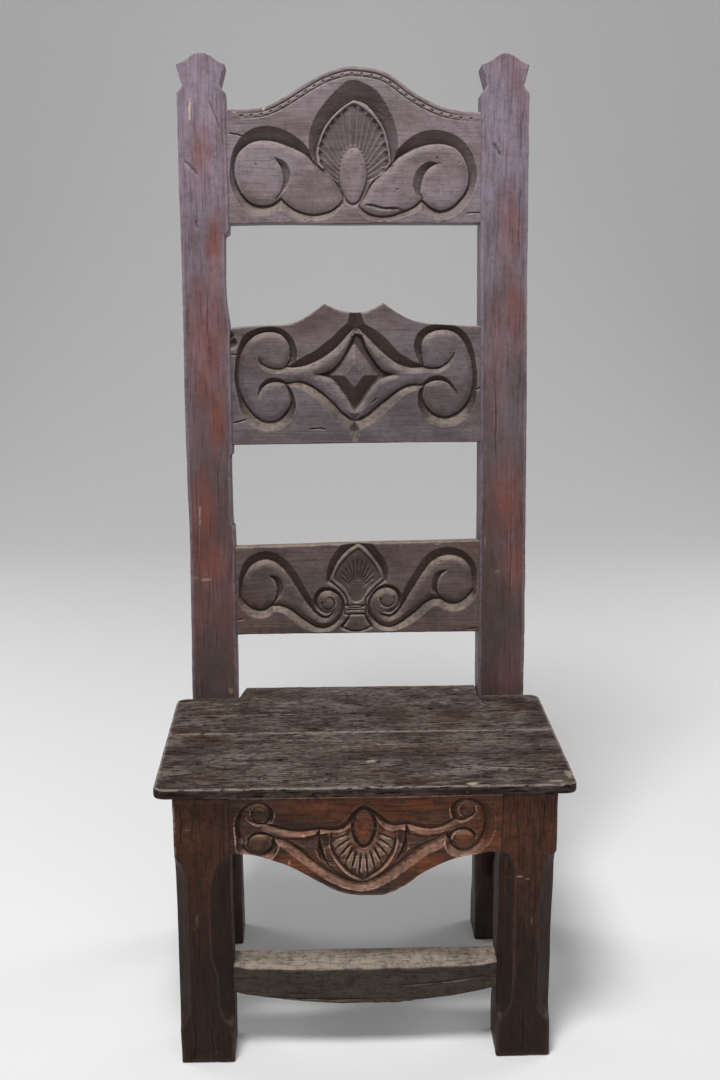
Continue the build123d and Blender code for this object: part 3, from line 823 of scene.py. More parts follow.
def padded(share, piece):
    """The face's values, ring by ring, with noughts for the timber's other places."""
    around = (len(piece.data.vertices) - 2) // share.shape[0]
    values = np.zeros((share.shape[0], around))
    values[:, : share.shape[1]] = share
    return np.append(values.ravel(), (0, 0))


def offset_line(points, inward, low_x, high_x, steps=40):
    """A line inside an outline, at a distance from it."""
    x = np.linspace(low_x, high_x, steps)
    v = height_along(points, x)
    slope = np.gradient(v, x)
    length = np.hypot(1, slope)
    return np.column_stack((x + inward * slope / length, v - inward / length))


CREST_TOP = (
    (-182, 149), (-150, 150), (-123, 152.5), (-96, 164.5), (-69, 181), (-42, 195.5), (-14, 204),
    (4, 204.5), (29, 201), (50, 192.5), (80, 171), (114, 154), (142, 147.5), (166, 146), (182, 146),
)
CREST_BOTTOM = ((-182, 0), (-90, 0.6), (-20, 0.2), (70, 0.3), (182, 0))
FIRST_PUNCH = 0.012
PUNCH_STEP = 0.0385
PUNCH_LENGTH = 0.0135


def carve_crest(face):
    """Two leafy scrolls rise to a fluted shell round an egg, below a punched border."""
    left_scroll = (
        (-17, 34, 4, 3), (-26, 22, 5, 5), (-40, 15, 5, 8), (-58, 12.5, 5, 9), (-77, 17, 5, 11),
        (-90, 25, 5, 11), (-100, 34, 5, 10), (-100, 34, 5, 10), (-111, 26.5, 6, 12), (-126, 24, 6, 14),
        (-141, 28, 6, 13), (-153, 40, 6, 10), (-160, 56, 6, 8), (-162, 73, 6, 6), (-158, 90, 6, 7),
        (-147, 102, 7, 12), (-134, 108.5, 7, 16), (-119, 110, 7, 18), (-104, 107.5, 7, 18),
        (-89, 102, 7, 16), (-75, 96, 7, 12), (-65, 89.5, 6, 7), (-56, 80, 5, 3), (-41, 67, 3.5, 1.6),
        (-26, 54, 3.5, 1.6),
    )
    face.trench(left_scroll, side=1, closed=True, crown=3.2, crown_width=11)
    left_eye = (
        (-107, 85, 1.5, 3), (-100, 76, 5, 9), (-97, 66, 5, 11), (-96, 55, 4.5, 7), (-99, 44, 4, 3),
        (-107, 33, 4, 2),
    )
    face.trench(left_eye, side=1, crown=2.4, crown_width=10)
    right_scroll = (
        (6, 24, 4, 3), (12, 35, 3, 1.6), (23, 54, 3.5, 1.6), (36, 65, 3.5, 1.6), (48, 76, 5, 3),
        (58, 87, 7, 8), (72, 95, 7, 13), (87, 101.5, 7, 17), (104, 105, 7, 18), (121, 104.5, 7, 16),
        (135, 99, 6, 14), (145, 88, 6, 13), (151, 75, 6, 12), (153, 60, 6, 11), (150, 45, 6, 10),
        (141, 32, 6, 11), (129, 21.5, 6, 12), (115, 17, 6, 12), (102, 21, 6, 12), (89, 32, 5, 10),
        (89, 32, 5, 10), (79, 23, 5, 8), (63, 16, 5, 7), (48, 11, 5, 6), (33, 10, 5, 6), (17, 14, 5, 6),
    )
    face.trench(right_scroll, side=1, closed=True, crown=3.2, crown_width=11)
    right_eye = (
        (111, 79.5, 1.5, 1), (101, 74.5, 5, 8), (93, 65, 5, 12), (89, 54, 5, 12), (87, 42, 4.5, 8),
        (91, 33, 4, 3),
    )
    face.trench(right_eye, side=-1, crown=2.4, crown_width=10)
    face.score(((10, 25), (22, 24), (36, 20.5), (50, 20), (64, 19)), width=2.2, depth=3.0)

    shell = (
        (-51, 79, 4, 4), (-52.5, 94, 6, 9), (-49, 108, 7, 14), (-42, 125, 7, 17), (-30, 141, 8, 19),
        (-15, 154, 8, 22), (-2, 162, 8, 25.5), (-2, 162, 8, 25.5), (8, 159.5, 8, 24), (18, 154, 8, 22),
        (29, 141, 8, 19), (39, 125, 7, 16), (44.5, 107, 7, 14), (47.5, 90, 6, 9), (48, 76, 4, 4),
    )
    face.trench(shell, side=1, wall=1.4, crown=0.3, crown_width=3)
    shell_ground = (
        (-26, 57), (-37, 67), (-46.5, 79), (-48.5, 95), (-45.5, 109), (-38.5, 124.5), (-27, 139),
        (-13.5, 150.5), (-2, 157), (10, 152), (24, 140), (35.5, 124.5), (41.5, 107), (44.5, 90),
        (44.5, 76), (35, 66), (23, 58), (17, 60), (16, 72), (13, 88), (6, 100), (-3, 104), (-13, 98),
        (-20, 84), (-23, 68),
    )
    face.hollow(shell_ground, side=-1, depth=2.2, wall=1.4, waxed_and_shaded=1)
    around_egg = (
        (-24, 56), (-22, 72), (-19, 86), (-12, 98), (-3, 103), (7, 98), (14, 86), (17, 72), (18, 57),
    )
    flute_ends = (
        (-34, 67), (-41.5, 79.5), (-43.5, 94.5), (-40, 108), (-33.5, 121.5), (-23, 134),
        (-12.5, 144.5), (-2, 150), (8, 145.5), (20.5, 134), (30.5, 121.5), (35.5, 106), (38.5, 90),
        (38.5, 77.5), (31, 67),
    )
    face.fan(around_egg, flute_ends, 19, ground=2.2, depth=3.0)
    egg = (
        (-9, 29, 4, 4), (-16, 39, 3.5, 3), (-20.5, 52, 3, 2.5), (-21.5, 67, 3, 2.5), (-19, 83, 3, 2.5),
        (-11, 96, 3, 2.5), (-3, 100, 3, 2.5), (6, 97, 3, 2.5), (13, 84, 3.5, 3), (15.5, 70, 4, 4.5),
        (14.5, 56, 4.5, 5), (10, 42, 4.5, 5), (4, 30, 4.5, 5), (-3, 26.5, 4.5, 4),
    )
    face.trench(egg, side=1, closed=True, wall=2.0, crown=3.0, crown_width=9)

    for inward in (6, 12):
        face.score(offset_line(CREST_TOP, inward, -163, 167), width=1.5, depth=1.5)
    border = smooth(offset_line(CREST_TOP, 9, -158, 162))
    for share in np.arange(FIRST_PUNCH, 1, PUNCH_STEP):
        face.score((evenly(border, share), evenly(border, share + PUNCH_LENGTH)), width=1.4, depth=2.0)

    cracks = (
        ((-170, 118), (-158, 117), (-148, 113), (-141, 109)),
        ((-57, 101), (-38, 101.5), (-19, 101)),
        ((-101, 21), (-97, 25), (-92, 25)),
        ((149, 13), (158, 14.5), (172, 13.5)),
        ((-70, 4), (-60, 9), (-55, 8)),
    )
    face.score_each(cracks, width=1.2, depth=2.2)
    for x, v in ((88, 152), (-110, 84), (-133, 78), (140, 80), (110, 86), (20, 150), (-45, 130), (57, 45)):
        face.dent(x, v, 1.8)
    for x, v, radius in ((-60, -1, 8), (-84, 0, 5), (40, 0, 6), (120, -1, 7)):
        face.dent(x, v, radius)


MIDDLE_TOP = (
    (-182, 156), (-168, 157.5), (-150, 159.5), (-126, 160.5), (-100, 161.5), (-80, 166), (-62, 176),
    (-43, 190), (-43, 190), (-30, 183), (-15, 179), (0, 177.5), (17, 180), (37, 190), (37, 190),
    (53, 179), (72, 169), (94, 163.5), (130, 160.5), (168, 159), (182, 159),
)
MIDDLE_BOTTOM = ((-182, -1), (-60, 0.2), (20, 0.8), (182, 1))
HOLLOW_DEPTH = 9.5
STUD_LEVEL = 0.4
TABLE_SHARE = 0.36
STUD_FOOT_SHARE = 0.96


def carve_middle(face):
    """Two pairs of volutes hold a hollow diamond between their arms, round a faceted stud."""
    band = (
        (0, 157, 6, 11), (-10, 149, 6, 13), (-21, 137, 6, 14), (-34, 125, 6, 15), (-50, 114.5, 6, 14),
        (-66, 107.5, 6, 13), (-82, 104, 5, 9), (-97, 104.5, 5, 4), (-97, 104.5, 5, 4), (-91, 114, 5, 9),
        (-90, 126, 5, 10), (-94, 139, 5.5, 9), (-104, 149, 6, 8), (-118, 152, 6, 7), (-133, 149, 6, 8),
        (-145, 141, 6, 10), (-153, 130, 5, 8), (-158, 119, 4, 6), (-161, 104, 3.5, 5),
        (-161.5, 89, 3.5, 5), (-160, 76, 4, 5), (-155, 62, 5, 7), (-149, 51, 6, 11), (-139, 39, 6, 13),
        (-126, 31.5, 6, 14), (-111, 32, 6, 13), (-99, 40, 6, 12), (-91, 52, 5.5, 9), (-90, 65, 5, 5),
        (-97, 81.5, 5, 3), (-97, 81.5, 5, 3), (-81, 85, 5, 8), (-67, 82, 6, 10), (-54, 74.5, 6, 11),
        (-41, 64.5, 6, 12), (-29, 53, 6, 13), (-19, 42, 6, 14), (-3, 31, 6, 14), (-3, 31, 6, 14),
        (12, 38, 6, 14), (20, 44, 6, 14), (31, 53.5, 6, 13), (43, 62.5, 6, 12), (55, 71.5, 6, 11),
        (67, 78, 6, 10),
        (79, 80, 5, 8), (93, 79, 5, 3), (93, 79, 5, 3), (90, 68, 5, 6), (92, 57, 5, 9), (98, 46.5, 6, 12),
        (108, 38.5, 6, 13), (121, 35.5, 6, 14), (134, 39, 6, 14), (146, 47.5, 6, 12), (155, 60.5, 5, 9),
        (159, 75, 4.5, 6), (160, 90, 4, 6), (158.5, 105, 4, 6), (155, 119.5, 5, 7), (150, 132.5, 5, 8),
        (142, 144, 6, 9), (131, 152, 6, 8), (117, 154, 6, 7), (104, 151.5, 6, 9), (94, 144.5, 6, 11),
        (89, 134.5, 5, 11), (89, 122, 5, 9), (92, 104, 5, 4), (92, 104, 5, 4), (78, 102.5, 5, 9),
        (64, 105, 6, 13), (51, 111.5, 6, 14), (39, 121, 6, 16), (27, 132.5, 6, 17), (16, 143.5, 6, 15),
        (8, 151, 6, 12),
    )
    face.trench(band, side=-1, closed=True, crown=4.2, crown_width=10)
    hooks = (
        (1, (
            (-97, 104.5, 5, 4), (-106, 102.5, 4.5, 6), (-117, 104, 4.5, 7), (-127, 109, 4, 5),
            (-133, 117, 1.5, 1.5),
        )),
        (-1, (
            (-97, 81.5, 4.5, 4), (-107, 84, 4.5, 6), (-118, 83, 4.5, 7), (-128, 77, 4, 5),
            (-134, 67, 1.5, 2),
        )),
        (-1, (
            (92, 104, 5, 4), (102, 102.5, 4.5, 6), (113, 103.5, 4.5, 7), (124, 109.5, 4, 5),
            (134, 122, 1.5, 1.5),
        )),
        (1, (
            (93, 79, 4.5, 4), (102, 84, 4.5, 6), (113, 85.5, 4.5, 7), (124, 82, 4, 5),
            (136, 70, 1.5, 2),
        )),
    )
    for side, points in hooks:
        face.trench(points, side=side, crown=3.0, crown_width=9, wall=2.0)
    hollow = (
        (-2, 150), (-2, 150), (-12, 130), (-23, 112), (-36, 100), (-55, 94), (-55, 94), (-36, 88),
        (-25, 77), (-15, 63), (-8, 51), (-3, 42), (-3, 42), (5, 52), (13, 64), (24, 79), (35, 88),
        (53, 93.5), (53, 93.5), (36, 100), (25, 113), (14, 130), (7, 146),
    )
    around = smooth(hollow, closed=True)
    away, _ = face.nearest(around, 60)
    away = np.where(np.isfinite(away), away, 0)
    stud = rhombus(face, centre=(-3, 93), left=37, right=35, up=46, down=45)
    slant = np.clip((stud - TABLE_SHARE) / (STUD_FOOT_SHARE - TABLE_SHARE), 0, 1)
    facets = STUD_LEVEL + (HOLLOW_DEPTH - STUD_LEVEL) * slant
    walls = np.clip(away / 3.0, 0, 1)
    face.sink(facets * np.sqrt(1 - (1 - walls) ** 2))
    face.sink(np.where(away < 0, 3.2 * np.clip(1 + away / 8, 0, 1) ** 1.8, 0))
    # Darken the stud's outer rim and its lower facets: painted shade on the facets that look down.
    below = face.v < 93
    face.darken(np.where((away > 0) & ((stud > 0.93) | ((stud > TABLE_SHARE) & below)), 1, 0))

    face.valley(((0, 155, 6, 14), (-1, 166, 5.5, 11), (-1, 182, 5, 7)))
    face.valley(((-3, 33, 6, 12), (-3, 23, 5, 9), (-2.5, 13, 3, 6), (-2, 2, 0.8, 2)), waxed_and_shaded=0)
    face.dent(-169, 137, 9, 8)
    face.dent(-172, 146, 8, 7)
    cracks = (
        ((-170, 122), (-161, 121)), ((-169, 29), (-160, 31), (-150, 34)), ((160, 71), (172, 76)),
        ((158, 73), (166, 72)), ((-66, 20), (-50, 21), (-42, 19)), ((20, 55), (28, 62)),
    )
    face.score_each(cracks, width=1.3, depth=2.2)


def rhombus(face, centre, left, right, up, down):
    """1 on the edge of a diamond with these half diagonals, 0 in its middle."""
    across = face.x - centre[0]
    rise = face.v - centre[1]
    return np.abs(across) / np.where(across < 0, left, right) + np.abs(rise) / np.where(rise < 0, down, up)


LOWER_TOP = ((-182, 122.5), (-100, 124), (0, 126.2), (90, 127.5), (182, 129))
LOWER_BOTTOM = ((-182, 0), (-60, 0), (60, 0.4), (182, 0.5))
SHELL_RAYS = 11


def carve_lower(face):
    """Two S-scrolls curl up to a small shell on a bound stem."""
    left_over = (
        (-162, 52, 3, 4), (-161, 66, 4, 5), (-157, 81, 5, 8), (-146, 97, 5, 12), (-126, 104, 5, 13),
        (-108, 95.5, 5, 13), (-94, 79, 5, 12), (-81, 58, 5, 11), (-70, 41, 5, 9), (-59, 28, 5, 5),
        (-48, 22, 5, 3), (-39, 24.5, 4, 2), (-35, 31, 2, 1.5),
    )
    face.trench(left_over, side=1, crown=4.0, crown_width=10)
    left_under = (
        (-162, 52, 3, 5), (-156, 44, 5, 8), (-147, 37, 5, 11), (-136, 34, 5, 12), (-127, 36, 5, 11),
        (-120, 41, 5, 9), (-120, 41, 5, 9), (-107, 40, 5, 9), (-95, 35.5, 5, 10), (-84, 27.5, 5, 11),
        (-73, 19, 5, 11), (-62, 12, 5, 9), (-50, 8, 5, 6), (-38, 11, 5, 6), (-28, 19, 5, 5),
        (-22.5, 30, 4.5, 4), (-21.5, 41, 4, 4), (-25.5, 51, 4, 4), (-34, 58, 5, 5), (-43, 60, 5, 6),
        (-51, 56.5, 5, 7), (-56, 48, 5, 7), (-56, 39, 5, 6), (-51, 32, 4, 3), (-44, 28.5, 3, 2),
        (-37, 30, 2, 1),
    )
    face.trench(left_under, side=-1, crown=4.0, crown_width=10)
    left_eye = (
        (-121, 81, 1.5, 2), (-115, 75, 4, 8), (-112, 66, 4, 10), (-112, 57, 4, 7), (-115, 48, 4, 3),
        (-120, 41, 4, 2),
    )
    face.trench(left_eye, side=1, crown=1)
    face.trench(arc((-41.5, 42), 8.5, 75, -190, 3, 2), side=1, wall=2, crown=1.8, crown_width=6)

    right_over = (
        (161, 62, 3, 5), (160, 78, 5, 7), (156, 92, 5, 9), (146, 103, 5, 10), (131, 108, 5, 12),
        (116, 106, 5, 13), (104, 99.5, 5, 13), (94, 88, 5, 12), (84, 73, 5, 12), (74, 57, 5, 11),
        (66, 44, 5, 7), (59, 33.5, 5, 4), (51, 26, 5, 3), (42, 23.5, 4, 2), (34, 27, 2, 1.5),
    )
    face.trench(right_over, side=-1, crown=4.0, crown_width=10)
    right_under = (
        (161, 62, 3, 5), (157, 56, 5, 9), (150, 48, 5, 11), (141, 42.5, 5, 12), (132, 41, 5, 12),
        (124, 43, 5, 11), (116, 48, 5, 10), (116, 48, 5, 10), (104, 47.5, 5, 10), (95, 43, 5, 11),
        (86, 35.5, 5, 11), (76, 27, 5, 11), (66, 19.5, 5, 10), (56, 13, 5, 8), (46, 9, 5, 6),
        (36, 10, 5, 6), (26, 16, 5, 6), (19, 25.5, 5, 5), (16.5, 36, 4, 4), (18, 46, 4, 4),
        (23, 55, 4, 4), (31, 61.5, 5, 5), (40, 63.5, 5, 5), (48, 61, 5, 6), (54, 55.5, 5, 6),
        (57, 47, 5, 5), (55, 38, 4, 3), (48, 30.5, 3, 2), (41, 29, 2, 1),
    )
    face.trench(right_under, side=1, crown=4.0, crown_width=10)
    right_eye = (
        (124, 87, 1.5, 2), (115, 80, 4, 8), (111, 70, 4, 9), (110, 60, 4, 7), (113, 52, 4, 3),
        (117, 47, 4, 2),
    )
    face.trench(right_eye, side=-1, crown=1)
    face.trench(arc((41.5, 46.5), 9.5, 25, -190, 3, 2), side=1, wall=2, crown=1.8, crown_width=6)

    shell = (
        (-12, 37, 3, 2), (-14, 46, 3, 2), (-20, 57, 3.5, 2), (-29, 66, 4, 2), (-39, 75, 4, 5),
        (-39, 75, 4, 5), (-35, 86, 5, 9), (-29, 98, 5, 11), (-20, 110, 5, 12), (-9, 119.5, 5, 12),
        (1, 125, 5, 9), (1, 125, 5, 9), (11, 119, 5, 12), (20, 108.5, 5, 12), (29, 97.5, 5, 11),
        (35, 85.5, 5, 9), (37, 75.5, 4, 5), (37, 75.5, 4, 5), (26, 66, 4, 2), (18, 57, 3.5, 2),
        (11, 48, 3, 2), (8, 38, 3, 2),
    )
    face.trench(shell, side=1, closed=True, wall=1.8, crown=0.8, crown_width=4)
    shell_ground = (
        (-9, 46), (-16, 59), (-25, 69), (-33, 77), (-30, 88), (-23, 100), (-10, 113), (1, 119.5),
        (10, 113), (21, 101), (29, 88), (31, 77), (21, 67), (13, 58), (6, 47), (-2, 43),
    )
    face.hollow(shell_ground, side=-1, depth=2.4, wall=2.5)
    ray_ends = smooth(((-27, 78), (-25, 90), (-15, 104), (1, 114), (16, 103), (25, 90), (27, 78)))
    ray_root = np.array((-1.5, 58))
    for k in range(SHELL_RAYS):
        end = evenly(ray_ends, (k + 0.5) / SHELL_RAYS)
        face.score((ray_root + 0.16 * (end - ray_root), end), width=1.9, depth=3.8)
    collar_line = (
        (-19, 38.5), (-18, 27), (-18, 27), (10, 27), (10, 27), (11, 38.5), (11, 38.5), (-4, 39), (-19, 38.5),
    )
    collar = [(x, v, 3, 2) for x, v in collar_line]
    face.trench(collar, side=-1, closed=True, wall=1.6, crown=0.8, crown_width=5)
    face.score(((-18, 32.8), (-4, 33), (10, 32.8)), width=1.5, depth=2.0)
    foot = (
        (-10, 26, 3, 2), (-13, 19, 3.5, 4), (-21, 9, 3.5, 4), (-21, 9, 3.5, 4), (-11, 4.5, 3.5, 3),
        (-1, 3.5, 3.5, 3), (9, 5.5, 3.5, 3), (17, 10, 3.5, 4), (17, 10, 3.5, 4), (12, 18, 3.5, 4),
        (8, 26, 3, 2),
    )
    face.trench(foot, side=-1, closed=True, wall=1.8, crown=1, crown_width=8)
    cracks = (((-165, 60), (-158, 56)), ((-168, 20), (-158, 22)), ((150, 4), (166, 5)))
    face.score_each(cracks, width=1.1, depth=1.6)
    for x, radius in ((-150, 3), (-118, 4), (-80, 3), (60, 3), (110, 4)):
        face.dent(x, 127, radius)


APRON_EDGE = (
    (-182, 57), (-161, 57), (-149, 56.5), (-125, 51), (-113, 48.5), (-90, 38.5), (-63, 22.5), (-37, 7.5),
    (-14, 0.8), (10, 0), (26, 2), (47, 12.5), (73, 30.5), (107, 46.5), (132, 51.5), (154, 55.5), (182, 55),
)
APRON_TOP = ((-182, 131.3), (0, 131.3), (182, 131.3))
APRON_LOBES = 13


def carve_apron(face):
    """C-scrolls send arms to a strapped shell, whose flutes spread from an egg."""
    motif = (
        (-13, 105, 4, 6), (-21, 93.5, 4, 7), (-31, 87, 4, 7), (-43, 85.5, 4, 8), (-56, 87, 4, 8),
        (-68, 85.5, 4, 8), (-82, 84.5, 4, 8), (-96, 86.5, 4, 7), (-109, 90.5, 4, 6), (-122, 95.5, 4, 4),
        (-122, 95.5, 4, 4), (-116, 101, 3, 4), (-114, 109, 3, 4), (-117, 117, 3, 4), (-125, 122, 3, 4),
        (-135, 122, 3, 4), (-146, 115, 3, 4), (-152, 104, 3.5, 4), (-154, 91, 3.5, 4), (-152, 77.5, 4, 5),
        (-148, 66, 5, 9), (-140, 58, 5, 9), (-130, 54.5, 5, 9), (-122, 56.5, 5, 9), (-116, 62, 5, 9),
        (-112, 69, 5, 7), (-112, 77, 5, 5), (-112, 77, 5, 5), (-96, 72, 6, 8), (-82, 62, 6, 10),
        (-71, 52, 6, 9), (-59, 41.5, 6, 9), (-46, 32, 6, 9), (-32, 24, 6, 9), (-18, 18, 6, 9),
        (-2, 16, 6, 9), (14, 22, 6, 10), (29, 32, 6, 11), (40, 41, 6, 11), (52, 51, 6, 12), (67, 63, 6, 12),
        (83, 71, 6, 12), (98, 80, 6, 10), (98, 80, 6, 10), (102, 70, 5, 7), (106, 62.5, 5, 9),
        (115, 57, 5, 9), (125, 58, 5, 9), (134, 65, 5, 10), (140, 75.5, 5, 12), (143.5, 88, 4.5, 13),
        (144, 101, 4, 11), (140, 113, 3.5, 8), (131, 121, 3, 5), (119, 123.5, 3, 4), (109, 120, 3, 4),
        (105, 112, 3, 4), (108, 99, 3, 4),
        (108, 99, 3, 4), (93, 89, 4, 7), (80, 86, 4, 8), (68, 87, 4, 8), (57, 90.5, 4, 8), (47, 92, 4, 8),
        (35, 90.5, 4, 8), (24, 94, 4, 7), (15, 102, 4, 6), (8, 108, 4, 5), (-3, 114, 3.5, 5),
    )
    face.trench(motif, side=-1, closed=True, crown=4.2, crown_width=9, waxed_and_shaded=0.3)
    hooks = (
        (1, ((-122, 95.5, 4, 2), (-131, 96.5, 3, 2), (-139, 101, 1.5, 1.5))),
        (-1, ((-112, 77, 4, 3), (-120, 81, 4, 5), (-131, 82, 4, 5), (-141, 77.5, 2, 2))),
        (-1, ((108, 99, 4, 2), (117, 97.5, 3, 2), (128, 104, 1.5, 1.5))),
        (1, ((102, 72, 4, 3), (105, 81, 4, 4), (115, 84.5, 4, 5), (125, 83.5, 3, 4), (132, 78, 2, 2))),
    )
    for side, points in hooks:
        face.trench(points, side=side, crown=3.4, crown_width=8, wall=2.0)
    shadows = (
        (-1, ((-104, 77, 1, 3), (-92, 75.5, 2.5, 8), (-80, 75, 3.5, 14), (-68, 77, 4, 18), (-57, 80, 4, 18))),
        (1, ((96, 81, 1, 3), (86, 77.5, 2.5, 8), (74, 75.5, 3.5, 14), (64, 77, 4, 18), (54, 81, 4, 18))),
    )
    for side, points in shadows:
        face.trench(points, side=side, crown=3.2, crown_width=8)
    straps = (
        (-1, (
            (-55, 89, 4, 4), (-56, 77, 4.5, 6), (-53.5, 64.5, 4.5, 7), (-50, 50.5, 4, 6),
            (-42, 37, 3.5, 4), (-29, 26, 3, 2), (-16, 18, 2, 1.5),
        )),
        (1, (
            (48, 93, 4, 4), (48, 82, 4.5, 6), (46, 70, 4.5, 7), (42, 57, 4, 6), (35, 44, 3.5, 4),
            (25, 33, 3, 2), (13, 23.5, 2, 1.5),
        )),
    )
    for side, points in straps:
        face.trench(points, side=side, crown=0.8, crown_width=4, wall=1.6)
    shell_ground = (
        (-43, 84), (-42, 69.5), (-37, 53.5), (-28, 39.5), (-17, 28.5), (-3, 20), (-3, 20), (14, 32), (24, 43),
        (31, 55), (35, 69), (36.5, 84), (30, 84), (20, 90), (10, 103), (10, 90), (10, 78), (5, 68),
        (-2, 63), (-10, 67), (-15.5, 78), (-15.5, 90), (-15, 100), (-22, 90), (-31, 84.5),
    )
    face.hollow(shell_ground, side=1, depth=2.6, wall=1.6, waxed_and_shaded=0)
    around_egg = smooth(((-17, 88), (-16, 74), (-11, 64), (-2.5, 60), (5, 65), (11, 75), (12, 88)))
    lobe_ends = smooth(
        (
            (-41, 84), (-40.5, 69.5), (-35.5, 55), (-27, 41.5), (-16.5, 31), (-3, 23), (12.5, 34), (22.5, 45),
            (29.5, 56), (33.5, 69), (35, 85),
        )
    )
    face.score(shell_ground[:12], width=2.2, depth=3.6)
    for k in range(1, APRON_LOBES):
        share = k / APRON_LOBES
        end = evenly(lobe_ends, share)
        start = evenly(around_egg, share)
        face.score((start + 0.14 * (end - start), end), width=1.7, depth=5.4)
    face.boss((-2.5, 88), 13.5, 24.5, 8.0, narrowing=0.12, proud=1.8, moat=4.5)
    for centre, half_width, half_height, height in (
        ((-128, 69.5), 15.5, 12.5, 4.5), ((-128, 109), 10, 9.5, 3.2),
        ((119, 71), 14, 12.5, 4.5), ((122, 111), 9.5, 9, 3.2),
    ):
        face.boss(centre, half_width, half_height, height, proud=0.6)
    notches = (((-50, 49), (-44, 46), (-38, 45.5)), ((-48, 46), (-42, 43), (-36, 42.5)))
    face.score_each(notches, width=1.0, depth=1.2)


# ---------------------------------------------------------------- hewn timbers

CHAMFER_FOOT = 45
CHAMFER_HEAD = 283
FOOT_STOP = 42
HEAD_STOP = 38
REAR_CHAMFER = 9
PEG_REACH = (13.5, 42)
PEG_SWELLING = 1.5


def chamfer_size(z, full, least, head_stop=HEAD_STOP):
    """A stopped chamfer's width at each height: it ends in an arch above and in a tongue below."""
    foot = np.clip((CHAMFER_FOOT + FOOT_STOP - z) / FOOT_STOP, 0, 1)
    head = np.clip((z - CHAMFER_HEAD + head_stop) / head_stop, 0, 1)
    return np.maximum(full * np.minimum(1 - foot**2, np.sqrt(1 - head**2)), least)


def mound(face, x, v):
    """Cover a flush peg's end with a low swelling, as wax and dirt do."""
    from_middle = np.hypot((face.x - x) / PEG_REACH[0], (face.v - v) / PEG_REACH[1])
    face.depth -= PEG_SWELLING * np.clip(1 - from_middle**2, 0, 1) ** 2


def worn(x, size, seed):
    """An arris worn unevenly along its length."""
    uneven = 0.5 * noise_along(x, 34, seed) + 0.5 * noise_along(x, 7, seed + 1)
    return size * np.clip(1 + uneven, 0.4, 2)


POST_EDGES = {
    -1: (
        (
            (-376, -232), (0, -232), (223, -230.7), (320, -232.6), (459, -234), (615, -234.6),
            (739, -236), (871, -237),
        ),
        (
            (-376, -169), (0, -169.2), (222, -169.2), (242, -172), (333, -173.4), (349, -170),
            (488, -171), (507, -170.7), (556, -176.7), (622, -176.7), (641, -174.5), (650, -169.8),
            (809, -172), (871, -172),
        ),
    ),
    1: (
        ((-376, 168.6), (0, 168.3), (340, 169.4), (650, 168.6), (871, 169)),
        ((-376, 232), (0, 232.5), (300, 233.3), (700, 232.7), (871, 233.5)),
    ),
}
FINIAL_HEIGHT = 51
NECK_RISE = 10
NECK_SHARE = 0.78
CAP_HEIGHT = 14.5
CAP = ((0.0, 1.0), (0.28, 0.68), (0.70, 0.43), (0.95, 0.2), (1.0, 0.08))


def finial_share(v):
    """How wide the post is round its finial: coved in to a neck, flared to ears, then capped."""
    shoulder = POST_LENGTH - FINIAL_HEIGHT
    ear = POST_LENGTH - CAP_HEIGHT
    cove = [
        (shoulder + NECK_RISE * sin(t), NECK_SHARE + (1 - NECK_SHARE) * (1 - sin(t)) ** 1.5)
        for t in np.radians(np.arange(0, 91, 15))
    ]
    cap = [(ear + rise * CAP_HEIGHT, share) for rise, share in CAP]
    places, shares = zip((-400, 1), *cove, *cap)
    return np.interp(v, places, shares)


def post(side, name, seed):
    """A back post: its rear leg, its leaning upper part and its flat-sided finial."""
    shoulder = POST_LENGTH - FINIAL_HEIGHT
    coarse = 1
    levels = np.concatenate(
        (
            np.arange(-SEAT_TOP, 0, 4.0 * coarse),
            np.arange(0, shoulder - 1, 2.5 * coarse),
            np.arange(shoulder - 1, POST_LENGTH, 0.8 * coarse),
            (POST_LENGTH,),
        )
    )
    low, high = (height_along(edge, levels) for edge in POST_EDGES[side])
    middle = (low + high) / 2
    share = finial_share(levels)
    v, x = grid(levels, middle - share * (middle - low), middle + share * (high - middle), TIMBER_PITCH)
    face = Carving(x, v)
    for peg_v in BACK_PEG_LEVELS:
        mound(face, side * BACK_PEG_X, peg_v)
    face.score_marks(POST_MARKS[side])
    chamfer = chamfer_size(levels + SEAT_TOP, REAR_CHAMFER, 2)
    inner = np.where(levels < 0, chamfer, worn(levels, 1.8, seed))
    outer = np.where(levels < 0, chamfer, worn(levels, 2.4, seed + 5))
    first, last = (outer, inner) if side < 0 else (inner, outer)
    piece = timber(name, face, post_face, POST_DEPTH, ((first, first), (last, last)))
    mark_patches(piece, POST_PATCHES[side])
    roughen(piece, UP, seed, hollow=0.45, ripple=0.14)
    mark_relief(piece)
    mark_dust_and_painted_light(piece, 0.8)
    mark_bare(piece, POST_BARE[side])
    return dress(piece, materials["post"], "post_oak", name)


BACK_PEG_X = 183.5
BACK_PEG_LEVELS = (680.7, 764.7, 385.5, 479.5, 121.3, 183.3)
POST_MARKS = {
    -1: (
        (((-223, 808), (-220, 795), (-216, 782)), 1.6, 1.0),
        (((-195, 811), (-188, 795), (-180, 773)), 1.2, 1.6),
        (((-228, 732), (-220, 724), (-210, 713)), 1.8, 2.5),
        (((-214, 655), (-213, 649), (-212, 643)), 2.2, 1.6),
        (((-200, 560), (-201, 520), (-199, 470)), 1.0, 1.6),
        (((-222, 300), (-220, 240), (-221, 190)), 1.0, 1.6),
        (((-190, 330), (-191, 290), (-190, 262)), 1.0, 1.2),
    ),
    1: (
        (((186, 752), (191, 745), (195, 738)), 2.6, 2.0),
        (((222, 700), (220, 640), (221, 600)), 1.0, 1.8),
        (((190, 430), (191, 380), (189, 330)), 1.0, 1.4),
        (((212, 250), (213, 190), (211, 140)), 1.0, 1.6),
        (((226, 800), (222, 770), (223, 730)), 1.0, 1.4),
    ),
}
